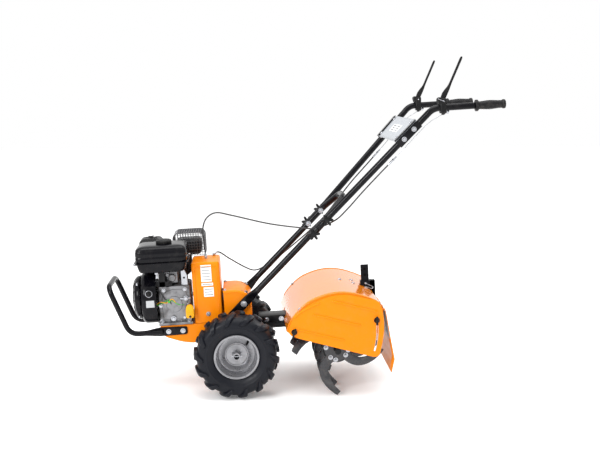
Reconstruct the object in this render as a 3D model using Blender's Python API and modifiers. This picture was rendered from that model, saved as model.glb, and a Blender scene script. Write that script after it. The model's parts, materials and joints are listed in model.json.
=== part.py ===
"""Rear-tine garden tiller with a single-cylinder petrol engine.

Metres, +Z up.  +X runs from the engine to the handles, and -Y is the fuel-tank side.
Nearly everything is laid out in the chassis frame, whose origin is the middle of the
wheel axle.  The chassis stands nose-down on its two wheels and its lowest tine, so
the empty "chassis" carries it at a small pitch over the ground at Z = 0.
"""
import bpy
import bmesh
import math
from mathutils import Matrix, Vector

# ---- driving dimensions ----------------------------------------------------------
WHEEL_R = 0.167            # 13 x 5.00-6 lug tyre
TYRE_W = 0.125
TRACK_HALF = 0.200         # middle of each tyre from the middle of the machine
RIM_R = 0.081
TINE_R = 0.180             # reach of the tines from the rotor shaft
ROTOR_X, ROTOR_Z = 0.390, -0.008
WORK_HALF = 0.250          # half the 50 cm working width
SHEET = 0.002              # thickness of the painted sheet steel
CLEAR = 0.0003             # gap left between parts that touch
TUBE_R = 0.0125            # handlebar tube
BUMPER_R = 0.0105
HANDLE_HALF = 0.250        # half the distance between the two grips
AXLE_X = -0.2515           # where the axle stands, so that X = 0 is mid-length

# The pitch at which wheels and tines touch the ground together.
PITCH = math.radians(3.1)
for _ in range(20):
    PITCH = math.asin((TINE_R - WHEEL_R - ROTOR_Z * math.cos(PITCH)) / ROTOR_X)

# ---- paint and finish ------------------------------------------------------------
FINISHES = {
    "orange": ((0.83, 0.24, 0.005), 0.30, 0.0),
    "black_paint": ((0.012, 0.012, 0.015), 0.28, 0.0),
    "black_plastic": ((0.02, 0.02, 0.022), 0.45, 0.0),
    "rubber": ((0.018, 0.02, 0.024), 0.70, 0.0),
    "tyre": ((0.016, 0.018, 0.022), 0.75, 0.0),
    "rim_silver": ((0.52, 0.52, 0.54), 0.35, 1.0),
    "zinc": ((0.70, 0.70, 0.72), 0.30, 1.0),
    "cast_aluminium": ((0.55, 0.55, 0.56), 0.50, 1.0),
    "cast_iron": ((0.06, 0.06, 0.065), 0.60, 1.0),
    "tine_steel": ((0.03, 0.03, 0.035), 0.45, 0.8),
    "dip_yellow": ((0.90, 0.45, 0.01), 0.40, 0.0),
    "panel_grey": ((0.45, 0.46, 0.48), 0.40, 0.0),
    "cable_black": ((0.012, 0.012, 0.012), 0.50, 0.0),
    "belt": ((0.02, 0.02, 0.02), 0.80, 0.0),
    "ceramic": ((0.80, 0.79, 0.76), 0.25, 0.0),
}


def finish(name):
    """The Principled material of one finish, made once."""
    mat = bpy.data.materials.get(name)
    if mat is None:
        colour, roughness, metallic = FINISHES[name]
        mat = bpy.data.materials.new(name)
        mat.use_nodes = True
        shader = mat.node_tree.nodes["Principled BSDF"]
        shader.inputs["Base Color"].default_value = (*colour, 1.0)
        shader.inputs["Roughness"].default_value = roughness
        shader.inputs["Metallic"].default_value = metallic
        mat.diffuse_color = (*colour, 1.0)
    return mat


# ---- scene and collections -------------------------------------------------------
for old in list(bpy.data.objects):
    bpy.data.objects.remove(old)

PARTS = bpy.data.collections.new("tiller")
CUTTERS = bpy.data.collections.new("cutters")
for group in (PARTS, CUTTERS):
    bpy.context.scene.collection.children.link(group)

CHASSIS = bpy.data.objects.new("chassis", None)
CHASSIS.location = (AXLE_X, 0.0, WHEEL_R)
CHASSIS.rotation_euler = (0.0, -PITCH, 0.0)
PARTS.objects.link(CHASSIS)


# ---- modelling helpers -----------------------------------------------------------
def turn(rx=0.0, ry=0.0, rz=0.0):
    """A rotation matrix from three angles in degrees, applied X, then Y, then Z."""
    return (Matrix.Rotation(math.radians(rz), 4, "Z")
            @ Matrix.Rotation(math.radians(ry), 4, "Y")
            @ Matrix.Rotation(math.radians(rx), 4, "X"))


def place(at=(0, 0, 0), rx=0.0, ry=0.0, rz=0.0):
    """A turn followed by a move."""
    return Matrix.Translation(at) @ turn(rx, ry, rz)


def mesh_object(name, bm, material=None, parent=CHASSIS, cutter=False):
    """Turns a bmesh into an object, in the parts or among the cutters."""
    mesh = bpy.data.meshes.new(name)
    bm.to_mesh(mesh)
    bm.free()
    obj = bpy.data.objects.new(name, mesh)
    if cutter:
        CUTTERS.objects.link(obj)
        obj.hide_render = True
        obj.display_type = "WIRE"
    else:
        PARTS.objects.link(obj)
        mesh.materials.append(finish(material))
    obj.parent = parent
    return obj


def add_box(bm, size, matrix=Matrix()):
    """A box of the given size about the matrix's origin."""
    made = bmesh.ops.create_cube(bm, size=1.0)
    scale = Matrix.Diagonal((*size, 1.0))
    bmesh.ops.transform(bm, matrix=matrix @ scale, verts=made["verts"])
    return made["verts"]


def box_between(bm, low, high):
    """A box from its lowest corner to its highest."""
    low, high = Vector(low), Vector(high)
    return add_box(bm, high - low, Matrix.Translation((low + high) / 2))


def add_rod(bm, r1, r2, length, matrix=Matrix(), sides=16):
    """A cylinder or cone along the matrix's Z, from its origin upwards."""
    made = bmesh.ops.create_cone(bm, cap_ends=True, segments=sides, radius1=r1,
                                 radius2=r2, depth=length)
    lift = Matrix.Translation((0, 0, length / 2))
    bmesh.ops.transform(bm, matrix=matrix @ lift, verts=made["verts"])
    return made["verts"]


def aim(a, b):
    """The matrix whose origin is a and whose Z points to b."""
    a, b = Vector(a), Vector(b)
    return Matrix.Translation(a) @ (b - a).to_track_quat("Z", "X").to_matrix().to_4x4()


def rod_between(bm, a, b, radius, sides=12):
    """Adds a round bar from a to b."""
    return add_rod(bm, radius, radius, (Vector(b) - Vector(a)).length, aim(a, b), sides)


def turned(name, profile, matrix, material, sides=24, parent=CHASSIS, cutter=False):
    """Turns a closed profile of (radius, height), outer side first and running down."""
    bm = bmesh.new()
    verts = [bm.verts.new((r, 0.0, h)) for r, h in profile]
    for i, vert in enumerate(verts):
        bm.edges.new((vert, verts[(i + 1) % len(verts)]))
    obj = mesh_object(name, bm, material, parent, cutter)
    obj.matrix_local = matrix
    screw = obj.modifiers.new("turn", "SCREW")
    screw.axis = "Z"
    screw.steps = sides
    screw.render_steps = sides
    screw.use_merge_vertices = True
    screw.merge_threshold = 0.00001
    return obj


def ring(r, count, at=(0.0, 0.0), start=0.0):
    """Points around a circle, for holes and round outlines."""
    return [(at[0] + r * math.cos(start + 2 * math.pi * i / count),
             at[1] + r * math.sin(start + 2 * math.pi * i / count)) for i in range(count)]


def arc(at, r, first, last, count):
    """Points on an arc, its angles in degrees from +X towards +Z."""
    return [(at[0] + r * math.cos(math.radians(first + (last - first) * i / count)),
             at[1] + r * math.sin(math.radians(first + (last - first) * i / count)))
            for i in range(count + 1)]


UPRIGHT = Matrix.Rotation(math.radians(90), 4, "X")      # curve plane XY to XZ, normal to -Y


def plate(name, outline, y_low, y_high, material, holes=(), parent=CHASSIS, matrix=None):
    """A flat plate cut to an outline in XZ, between two Y planes."""
    curve = bpy.data.curves.new(name, "CURVE")
    curve.dimensions = "2D"
    curve.fill_mode = "BOTH"
    curve.extrude = (y_high - y_low) / 2
    for points in (outline, *holes):
        spline = curve.splines.new("POLY")
        spline.points.add(len(points) - 1)
        for point, (x, z) in zip(spline.points, points):
            point.co = (x, z, 0.0, 1.0)
        spline.use_cyclic_u = True
    curve.materials.append(finish(material))
    obj = bpy.data.objects.new(name, curve)
    PARTS.objects.link(obj)
    obj.parent = parent
    middle = Matrix.Translation((0, (y_low + y_high) / 2, 0)) @ UPRIGHT
    obj.matrix_local = middle if matrix is None else matrix @ middle
    return obj


def smooth_path(points, steps=6):
    """A Catmull-Rom curve through the points, as a list of points."""
    pts = [Vector(p) for p in points]
    pts = [2 * pts[0] - pts[1]] + pts + [2 * pts[-1] - pts[-2]]
    path = []
    for a, b, c, d in zip(pts, pts[1:], pts[2:], pts[3:]):
        for i in range(steps):
            t = i / steps
            path.append(0.5 * (2 * b + (c - a) * t + (2 * a - 5 * b + 4 * c - d) * t ** 2
                               + (3 * b - a - 3 * c + d) * t ** 3))
    path.append(pts[-2])
    return path


def rounded_path(corners, radius, steps=4):
    """Straight runs joined by bends of one radius, as a list of points."""
    corners = [Vector(c) for c in corners]
    path = [corners[0]]
    for a, b, c in zip(corners, corners[1:], corners[2:]):
        into, out = (b - a).normalized(), (c - b).normalized()
        reach = radius * math.tan(into.angle(out) / 2)
        first, last = b - into * reach, b + out * reach
        for i in range(steps + 1):
            t = i / steps
            path.append(first * (1 - t) ** 2 + b * 2 * t * (1 - t) + last * t ** 2)
    path.append(corners[-1])
    return path


def tube(name, path, radius, material, detail=2, parent=CHASSIS):
    """A round bar along a path, its ends capped."""
    curve = bpy.data.curves.new(name, "CURVE")
    curve.dimensions = "3D"
    curve.bevel_depth = radius
    curve.bevel_resolution = detail
    curve.use_fill_caps = True
    spline = curve.splines.new("POLY")
    spline.points.add(len(path) - 1)
    for point, co in zip(spline.points, path):
        point.co = (*co, 1.0)
    curve.materials.append(finish(material))
    obj = bpy.data.objects.new(name, curve)
    PARTS.objects.link(obj)
    obj.parent = parent
    return obj


def to_mesh(obj):
    """Makes a curve object a closed mesh, in its own place."""
    graph = bpy.context.evaluated_depsgraph_get()
    graph.update()
    mesh = bpy.data.meshes.new_from_object(obj.evaluated_get(graph))
    bm = bmesh.new()
    bm.from_mesh(mesh)
    bmesh.ops.remove_doubles(bm, verts=bm.verts, dist=0.00001)
    bm.to_mesh(mesh)
    bm.free()
    name, parent, local = obj.name, obj.parent, obj.matrix_local.copy()
    material = obj.data.materials[0]
    bpy.data.objects.remove(obj)
    made = bpy.data.objects.new(name, mesh)
    if not mesh.materials:
        mesh.materials.append(material)
    PARTS.objects.link(made)
    made.parent = parent
    made.matrix_local = local
    return made


def solid(obj, operation, bm, name="tool"):
    """Joins a bmesh to an object, or cuts it away."""
    tool = mesh_object(obj.name + "_" + name, bm, cutter=True, parent=obj.parent)
    boolean = obj.modifiers.new(name, "BOOLEAN")
    boolean.operation = operation
    boolean.solver = "EXACT"
    boolean.object = tool
    return tool


def bevel(obj, width, segments=1, angle=30):
    """Rounds the sharp edges."""
    mod = obj.modifiers.new("round", "BEVEL")
    mod.width = width
    mod.segments = segments
    mod.limit_method = "ANGLE"
    mod.angle_limit = math.radians(angle)
    return mod


def thicken(obj, thickness, offset=-1.0):
    """Gives a sheet its thickness, inwards unless offset says otherwise."""
    mod = obj.modifiers.new("thickness", "SOLIDIFY")
    mod.thickness = thickness
    mod.offset = offset
    mod.use_even_offset = True
    return mod


def sheet(name, rows, material, thickness, parent=CHASSIS, offset=-1.0):
    """An open surface of rows of points, made a sheet of one thickness."""
    bm = bmesh.new()
    grid = [[bm.verts.new(p) for p in row] for row in rows]
    for low, high in zip(grid, grid[1:]):
        for i in range(len(low) - 1):
            bm.faces.new((low[i], low[i + 1], high[i + 1], high[i]))
    obj = mesh_object(name, bm, material, parent)
    thicken(obj, thickness, offset)
    return obj


def channel(name, outline, top_count, half, material, thickness, parent=CHASSIS):
    """Two like side plates in XZ, joined along the first top_count points by a web.

    The outline runs along the web first and back along the free edge.
    """
    bm = bmesh.new()
    near = [bm.verts.new((x, -half, z)) for x, z in outline]
    far = [bm.verts.new((x, half, z)) for x, z in outline]
    bm.faces.new(near)
    bm.faces.new(list(reversed(far)))
    for i in range(top_count - 1):
        bm.faces.new((near[i + 1], near[i], far[i], far[i + 1]))
    bmesh.ops.recalc_face_normals(bm, faces=bm.faces)
    obj = mesh_object(name, bm, material, parent)
    thicken(obj, thickness, 0.0)
    return obj


def pivot(name, at, parent=CHASSIS, rx=0.0, ry=0.0, rz=0.0):
    """An empty on a joint's axis, to carry the pieces that turn with it."""
    empty = bpy.data.objects.new(name, None)
    PARTS.objects.link(empty)
    empty.parent = parent
    empty.matrix_local = place(at, rx, ry, rz)
    return empty


# ---- wheels ----------------------------------------------------------------------
LUGS = 14                  # lugs on each side of a tyre
CARCASS_R = WHEEL_R - 0.012


def tyre(side, name):
    """The carcass with two staggered rows of slanted lugs."""
    w = TYRE_W / 2
    profile = [(CARCASS_R, 0.030), (CARCASS_R, -0.030), (0.142, -w + 0.004), (0.115, -w),
               (0.090, -0.052), (RIM_R + CLEAR, -0.036), (RIM_R + CLEAR, 0.036),
               (0.090, 0.052), (0.115, w), (0.142, w - 0.004)]
    at = (0, side * TRACK_HALF, 0)
    lay = place(at, rx=90) @ turn(rz=-90 + math.degrees(PITCH))
    obj = turned(name, profile, lay, "tyre", 36)
    bm = bmesh.new()
    for row in (-1, 1):
        for i in range(LUGS):
            angle = 360 * (i + (0.5 if row > 0 else 0.0)) / LUGS
            lug = turn(rz=angle) @ Matrix.Translation((0.155, 0, row * 0.030)) @ turn(rx=row * 35)
            add_box(bm, (0.0235, 0.022, 0.066), lay @ lug)
    clip = turned(name + "_clip", [(WHEEL_R, w), (WHEEL_R, -w), (0.10, -w), (0.10, w)], lay,
                  None, 36, cutter=True)
    tool = solid(obj, "UNION", bm, "lugs")
    trim = tool.modifiers.new("trim", "BOOLEAN")
    trim.operation = "INTERSECT"
    trim.solver = "EXACT"
    trim.object = clip
    return obj


def rim(side, name):
    """A pressed rim with its disc and hub tube."""
    profile = [(RIM_R, 0.036), (RIM_R, -0.036), (RIM_R - 0.004, -0.036), (0.070, -0.030),
               (0.068, -0.004), (0.045, 0.002), (0.015, 0.002), (0.015, -0.030),
               (0.0103, -0.030), (0.0103, 0.045), (0.015, 0.045), (0.015, 0.006),
               (0.045, 0.006), (0.070, 0.000), (0.073, 0.030), (RIM_R - 0.004, 0.036)]
    flip = 90 if side < 0 else -90
    return turned(name, profile, place((0, side * TRACK_HALF, 0), rx=flip), "rim_silver", 24)


WHEELS = pivot("wheel_axis", (0, 0, 0))
for side, word in ((-1, "left"), (1, "right")):
    tyre(side, "tyre_" + word).parent = WHEELS
    rim(side, "rim_" + word).parent = WHEELS

bm = bmesh.new()
rod_between(bm, (0, -TRACK_HALF - 0.020, 0), (0, TRACK_HALF + 0.020, 0), 0.0100, 16)
mesh_object("wheel_axle", bm, "zinc", WHEELS)


# ---- frame, gearbox and belt drive ----------------------------------------------
BASE_TOP = 0.107           # the engine stands on this plane
BASE_HALF = 0.100
GUARD = ((-0.157, -0.100, 0.1075), (-0.047, 0.106, 0.349))
CRANK_Y, CRANK_Z = -0.035, 0.213
INPUT_Y, INPUT_Z = 0.050, 0.200
BELT_X = -0.100
PULLEY_R, BIG_PULLEY_R = 0.030, 0.050
SHAFT_R = 0.010

BASE_WEB = BASE_TOP - 0.0018
base_side = [(-0.293, BASE_WEB), (-0.0445, BASE_WEB), (-0.0445, 0.045), (-0.110, 0.030),
             (-0.194, 0.031), (-0.275, 0.061), (-0.293, 0.082)]
channel("engine_base", base_side, 2, BASE_HALF, "orange", 0.003)

case_side = [(-0.040, 0.2290), (0.003, 0.2300), (0.026, 0.2265), (0.047, 0.2175), (0.062, 0.2035),
             (0.070, 0.182), (0.070, 0.095), (0.070, 0.060), (-0.040, 0.060)]
channel("transmission_cover", case_side, 7, 0.0985, "orange", 0.003)

box_outline = ([(0.050, 0.200), (0.028, 0.218), (-0.032, 0.218), (-0.032, 0.040)]
               + arc((0.006, 0), 0.052, 130, 410, 12) + [(0.050, 0.060)])
housing = to_mesh(plate("gearbox_housing", box_outline, -0.055, 0.075, "cast_iron",
                        [ring(0.0104, 16)]))
bm = bmesh.new()
rod_between(bm, (-0.060, INPUT_Y, INPUT_Z), (0.020, INPUT_Y, INPUT_Z), SHAFT_R + 0.0004, 16)
rod_between(bm, (0.030, 0, 0.065), (0.080, 0, 0.065), 0.022 + CLEAR, 16)
solid(housing, "DIFFERENCE", bm, "bores")

bm = bmesh.new()
rows = [[(x, y, z) for x, z in ((GUARD[0][0], GUARD[0][2]), (GUARD[0][0], GUARD[1][2]),
                                (GUARD[1][0], GUARD[1][2]), (GUARD[1][0], GUARD[0][2]))]
        for y in (GUARD[0][1], GUARD[1][1])]
near, far = ([bm.verts.new(p) for p in row] for row in rows)
bm.faces.new(near)
bm.faces.new(list(reversed(far)))
for i in range(3):
    bm.faces.new((near[i + 1], near[i], far[i], far[i + 1]))
bmesh.ops.recalc_face_normals(bm, faces=bm.faces)
guard = mesh_object("belt_guard", bm, "orange")
thicken(guard, SHEET)
bm = bmesh.new()
rod_between(bm, (-0.170, CRANK_Y, CRANK_Z), (-0.150, CRANK_Y, CRANK_Z), 0.018, 16)
rod_between(bm, (-0.055, INPUT_Y, INPUT_Z), (-0.030, INPUT_Y, INPUT_Z), 0.018, 16)
solid(guard, "DIFFERENCE", bm, "shaft_holes")


def pulley(name, radius, hub, parent, reach=None):
    """A V-belt pulley turned about X, with its shaft when it has one."""
    profile = [(radius, 0.010), (radius, 0.008), (radius - 0.008, 0.004),
               (radius - 0.008, -0.004), (radius, -0.008), (radius, -0.010),
               (hub, -0.010)]
    if reach is None:
        profile = profile + [(hub, 0.010)]
    else:
        profile = profile[:-1] + [(0.0, -0.010), (0.0, reach), (hub, reach), (hub, 0.010)]
    return turned(name, profile, place((0, 0, 0), ry=90), "cast_iron", 20, parent)


def axis_x(name, y, z):
    """A pivot in the plane of the belt."""
    return pivot(name, (BELT_X, y, z))


CRANK = axis_x("crank_axis", CRANK_Y, CRANK_Z)
INPUT = axis_x("input_axis", INPUT_Y, INPUT_Z)
pulley("engine_pulley", PULLEY_R, 0.0083, CRANK)
pulley("gearbox_pulley", BIG_PULLEY_R, SHAFT_R, INPUT, 0.110)


def belt_outline(grow):
    """The open belt's outline in YZ round both pulleys, grown by a margin."""
    dy, dz = INPUT_Y - CRANK_Y, INPUT_Z - CRANK_Z
    span = math.hypot(dy, dz)
    lean = math.degrees(math.atan2(dz, dy))
    spread = math.degrees(math.acos((PULLEY_R - BIG_PULLEY_R) / span))
    small = arc((CRANK_Y, CRANK_Z), PULLEY_R + grow, lean + spread, lean + 360 - spread, 10)
    large = arc((INPUT_Y, INPUT_Z), BIG_PULLEY_R + grow, lean - spread, lean + spread, 14)
    return small + large


belt = plate("drive_belt", belt_outline(0.003), -0.0045, 0.0045, "belt", [belt_outline(0.0008)])
belt.matrix_local = Matrix.Translation((BELT_X, 0, 0)) @ Matrix(
    ((0, 0, 1, 0), (1, 0, 0, 0), (0, 1, 0, 0), (0, 0, 0, 1)))

# ---- bumper ----------------------------------------------------------------------
STRAP_Y = BASE_HALF + 0.0018
leg = [(-0.285, -0.1125, 0.084), (-0.412, -0.1125, 0.084), (-0.482, -0.1125, 0.275),
       (-0.482, 0.1125, 0.275), (-0.412, 0.1125, 0.084), (-0.285, 0.1125, 0.084)]
bumper = to_mesh(tube("bumper", rounded_path(leg, 0.042, 5), BUMPER_R, "black_paint"))
bm = bmesh.new()
for side in (-1, 1):
    inner, outer = STRAP_Y, STRAP_Y + 0.005
    low, high = sorted((side * inner, side * outer))
    box_between(bm, (-0.305, low, 0.066), (-0.188, high, 0.102))
solid(bumper, "UNION", bm, "straps")

# ---- engine ----------------------------------------------------------------------
BLOCK = ((-0.2965, -0.095, 0.1073), (-0.166, 0.042, 0.262))
WALL = 0.007
CYL_TILT = 25.0
bm = bmesh.new()
box_between(bm, *BLOCK)
block = mesh_object("crankcase", bm, "cast_aluminium")
bm = bmesh.new()
box_between(bm, (-0.2975, -0.108, 0.1073), (-0.163, 0.085, 0.1183))
solid(block, "UNION", bm, "feet")
bm = bmesh.new()
box_between(bm, (BLOCK[0][0] + WALL, BLOCK[0][1] + WALL, BLOCK[0][2] + WALL),
            (BLOCK[1][0] - WALL, BLOCK[1][1] - WALL, BLOCK[1][2] - WALL))
solid(block, "DIFFERENCE", bm, "inside")
bm = bmesh.new()
rod_between(bm, (-0.320, CRANK_Y, CRANK_Z), (-0.150, CRANK_Y, CRANK_Z), 0.0088, 16)
solid(block, "DIFFERENCE", bm, "crank_bore")
CYL_X = -0.232
CYLINDER = place((CYL_X, CRANK_Y, CRANK_Z), rx=-90 + CYL_TILT)
bm = bmesh.new()
add_rod(bm, 0.0480, 0.0480, 0.10, CYLINDER @ Matrix.Translation((0, 0, 0.0600)), 16)
solid(block, "DIFFERENCE", bm, "cylinder_seat")

turned("crankshaft", [(0.0080, 0.0135), (0.0080, -0.250), (0.0, -0.250), (0.0, 0.0135)],
       place(ry=90), "zinc", 16, CRANK)
turned("flywheel", [(0.088, -0.222), (0.088, -0.250), (0.080, -0.250), (0.074, -0.236),
                    (0.0083, -0.236), (0.0083, -0.222)], place(ry=90), "cast_iron", 20, CRANK)

FINS = 5
barrel = []
for i in range(FINS):
    top = 0.1250 - i * 0.0120
    barrel += [(0.046, top), (0.046, top - 0.0035), (0.038, top - 0.0045), (0.038, top - 0.0110)]
barrel = barrel[:-1] + [(0.038, 0.0605), (0.0340, 0.0605), (0.0340, 0.1250)]
turned("cylinder", barrel, CYLINDER, "cast_aluminium", 16)
bm = bmesh.new()
add_box(bm, (0.094, 0.094, 0.038), CYLINDER @ Matrix.Translation((0, 0, 0.1445)))
head = mesh_object("cylinder_head", bm, "cast_aluminium")
bm = bmesh.new()
add_box(bm, (0.070, 0.078, 0.028), CYLINDER @ Matrix.Translation((0, 0, 0.1755)))
solid(head, "UNION", bm, "rocker_cover")

SHROUD_X = -0.2985
FRONT = place((SHROUD_X, CRANK_Y, CRANK_Z), ry=90)
turned("fan_shroud", [(0.100, 0.0), (0.100, -0.058), (0.094, -0.063), (0.060, -0.063),
                      (0.060, -0.061), (0.0935, -0.061), (0.098, -0.0565), (0.098, 0.0)],
       FRONT, "black_paint", 24)
turned("recoil_starter", [(0.086, -0.0633), (0.086, -0.078), (0.078, -0.092), (0.030, -0.0985),
                          (0.0, -0.0985), (0.0, -0.0965), (0.029, -0.0965), (0.0765, -0.0902),
                          (0.084, -0.077), (0.084, -0.0633)], FRONT, "black_paint", 24)
turned("recoil_grip", [(0.007, 0.012), (0.011, 0.004), (0.009, -0.004), (0.011, -0.012),
                       (0.0, -0.012), (0.0, 0.012)],
       place((-0.330, 0.086, 0.270), rx=-75), "black_plastic", 12)

TANK = ((-0.365, -0.170, 0.328), (-0.166, -0.005, 0.434))
bm = bmesh.new()
box_between(bm, *TANK)
tank = mesh_object("fuel_tank", bm, "black_paint")
bevel(tank, 0.016, 3)
bm = bmesh.new()
box_between(bm, (TANK[0][0] - 0.009, TANK[0][1] - 0.005, 0.3655),
            (TANK[1][0] + 0.004, TANK[1][1] + 0.006, 0.3695))
solid(tank, "UNION", bm, "seam")
CAP = (-0.256, -0.095)
TANK_WALL = Vector((0.0025, 0.0025, 0.0025))
bm = bmesh.new()
box_between(bm, Vector(TANK[0]) + TANK_WALL, Vector(TANK[1]) - TANK_WALL)
bevel(solid(tank, "DIFFERENCE", bm, "inside"), 0.0135, 3)
bm = bmesh.new()
rod_between(bm, (CAP[0], CAP[1], TANK[1][2] - 0.030), (CAP[0], CAP[1], TANK[1][2] + 0.010), 0.019, 16)
solid(tank, "DIFFERENCE", bm, "filler_hole")
turned("fuel_cap", [(0.027, 0.016), (0.030, 0.012), (0.030, 0.0), (0.0, 0.0), (0.0, 0.016)],
       place((CAP[0], CAP[1], TANK[1][2] + CLEAR)), "black_plastic", 20)

bm = bmesh.new()
box_between(bm, (-0.376, 0.055, 0.330), (-0.272, 0.165, 0.428))
air_box = mesh_object("air_cleaner", bm, "black_plastic")
bevel(air_box, 0.014, 2)

MUFFLER = ((-0.222, 0.060, 0.3525), (-0.118, 0.165, 0.418))
bm = bmesh.new()
box_between(bm, *MUFFLER)
muffler = mesh_object("muffler", bm, "black_paint")
bevel(muffler, 0.020, 2)
bm = bmesh.new()
box_between(bm, Vector(MUFFLER[0]) + TANK_WALL, Vector(MUFFLER[1]) - TANK_WALL)
bevel(solid(muffler, "DIFFERENCE", bm, "inside"), 0.0175, 2)
bm = bmesh.new()
rod_between(bm, (-0.140, 0.140, 0.385), (-0.140, 0.200, 0.385), 0.009, 12)
solid(muffler, "DIFFERENCE", bm, "outlet")
lift = 0.006
bm = bmesh.new()
low, high = [Vector(v) for v in MUFFLER]
x0, x1, y0, y1, z1 = low.x - 0.010, high.x + 0.014, low.y - lift, high.y + lift, high.z + 0.028
outline = [(x0, low.z), (x0, z1 - 0.020), (x0 + 0.020, z1), (x1 - 0.012, z1), (x1, z1 - 0.020),
           (x1, low.z)]
rows = [[(x, y, z) for x, z in outline] for y in (y0, y1)]
sheet("muffler_guard", rows, "black_paint", 0.002, offset=0.0)

turned("oil_dipstick", [(0.015, 0.024), (0.018, 0.020), (0.018, 0.004), (0.010, 0.0),
                        (0.0, 0.0), (0.0, 0.024)],
       place((-0.172, -0.1085, 0.160), rx=90), "dip_yellow", 14)
bm = bmesh.new()
THROTTLE = pivot("throttle_axis", (-0.292, -0.0975, 0.290))
box_between(bm, (-0.004, -0.0015, -0.010), (0.004, 0.0015, 0.030))
throttle = mesh_object("throttle_lever", bm, "zinc", THROTTLE)
bm = bmesh.new()
box_between(bm, (-0.007, -0.012, 0.022), (0.007, 0.0010, 0.034))
solid(throttle, "UNION", bm, "tab")
SWITCH = pivot("switch_axis", (-0.325, CRANK_Y - 0.1003, 0.245))
turned("engine_switch", [(0.010, 0.011), (0.012, 0.0), (0.0, 0.0), (0.0, 0.011)],
       place(rx=90), "black_plastic", 12, SWITCH)

# ---- handlebars ------------------------------------------------------------------
LOW_Y = 0.1255             # lower tubes
LOW_FOOT, LOW_TOP = Vector((0.050, 0, 0.1865)), Vector((0.395, 0, 0.511))
RUN = (LOW_TOP - LOW_FOOT).normalized()
CROWN = LOW_TOP + RUN * 0.085


def on_side(point, y):
    """The point moved sideways to y."""
    return Vector((point.x, y, point.z))


loop = [on_side(LOW_FOOT, -LOW_Y), on_side(LOW_TOP, -LOW_Y), on_side(CROWN, -0.055),
        on_side(CROWN, 0.055), on_side(LOW_TOP, LOW_Y), on_side(LOW_FOOT, LOW_Y)]
lower = to_mesh(tube("lower_handlebar", rounded_path(loop, 0.055, 5), TUBE_R, "black_paint"))
FOOT_LEAN = math.degrees(math.atan2(RUN.z, RUN.x))
bm = bmesh.new()
for side in (-1, 1):
    middle = on_side(LOW_FOOT - RUN * 0.030, side * 0.1125)
    add_box(bm, (0.150, 0.009, 0.036), place(middle, ry=-FOOT_LEAN))
solid(lower, "UNION", bm, "feet")

KNOBS = [LOW_FOOT + RUN * 0.377, LOW_FOOT + RUN * 0.451]
BOLT_R = 0.0042
HIGH_Y = LOW_Y + 2 * TUBE_R + CLEAR
bm = bmesh.new()
for at in KNOBS:
    rod_between(bm, on_side(at, -0.2), on_side(at, 0.2), BOLT_R + CLEAR, 10)
solid(lower, "DIFFERENCE", bm, "bolt_holes")

HIGH = [(0.308, HIGH_Y, 0.4275), (0.400, HIGH_Y, 0.5165), (0.788, 0.2445, 0.9005),
        (1.050, HANDLE_HALF, 0.9025)]
GRIP_FROM = 0.945


def along_handle(x, side):
    """The point of the level part of the handle tube at one x."""
    a, b = Vector(HIGH[2]), Vector(HIGH[3])
    point = a.lerp(b, (x - a.x) / (b.x - a.x))
    return Vector((point.x, side * point.y, point.z))


GRIP_AXIS = {side: aim(along_handle(GRIP_FROM, side), along_handle(1.0, side)) for side in (-1, 1)}
for side, word in ((-1, "left"), (1, "right")):
    path = rounded_path(HIGH[:3], 0.15, 2)[:-1] + rounded_path(HIGH[1:], 0.06, 4)[1:]
    high = to_mesh(tube("upper_tube_" + word, [(x, side * y, z) for x, y, z in path], TUBE_R,
                        "black_paint"))
    bm = bmesh.new()
    for at in KNOBS:
        rod_between(bm, on_side(at, -0.2), on_side(at, 0.2), BOLT_R + CLEAR, 10)
    solid(high, "DIFFERENCE", bm, "bolt_holes")
    grip = [(0.0160, 0.113), (0.0172, 0.108), (0.0155, 0.060), (0.0160, 0.014), (0.0215, 0.010),
            (0.0215, 0.0), (TUBE_R + CLEAR, 0.0), (TUBE_R + CLEAR, 0.1058), (0.0, 0.1058),
            (0.0, 0.113)]
    turned("grip_" + word, grip, GRIP_AXIS[side],
           "rubber", 18)


def star(lobes, inner, outer):
    """A knob's outline: a circle that swells into lobes."""
    count = lobes * 4
    points = []
    for i in range(count):
        angle = 2 * math.pi * i / count
        r = inner + (outer - inner) * (0.5 + 0.5 * math.cos(lobes * angle)) ** 1.5
        points.append((r * math.cos(angle), r * math.sin(angle)))
    return points


def star_knob(name, at, side):
    """A lobed knob and its bolt, which runs through both tubes."""
    face = side * (HIGH_Y + TUBE_R + CLEAR + 0.002)
    low, high = sorted((face, face + side * 0.018))
    knob = to_mesh(plate(name, star(5, 0.013, 0.026), low, high, "black_plastic",
                         matrix=Matrix.Translation((at.x, 0, at.z))))
    bm = bmesh.new()
    rod_between(bm, (at.x, face + side * 0.005, at.z), (at.x, side * (LOW_Y - 0.024), at.z),
                BOLT_R, 10)
    solid(knob, "UNION", bm, "bolt")
    bm = bmesh.new()
    inner = side * (LOW_Y - TUBE_R - 0.0035)
    rod_between(bm, (at.x, inner, at.z), (at.x, side * (LOW_Y - 0.022), at.z), 0.008, 6)
    solid(knob, "UNION", bm, "head")


for side, word in ((-1, "left"), (1, "right")):
    for at, level in zip(KNOBS, ("lower", "upper")):
        star_knob(f"star_knob_{word}_{level}", at, side)

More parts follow.
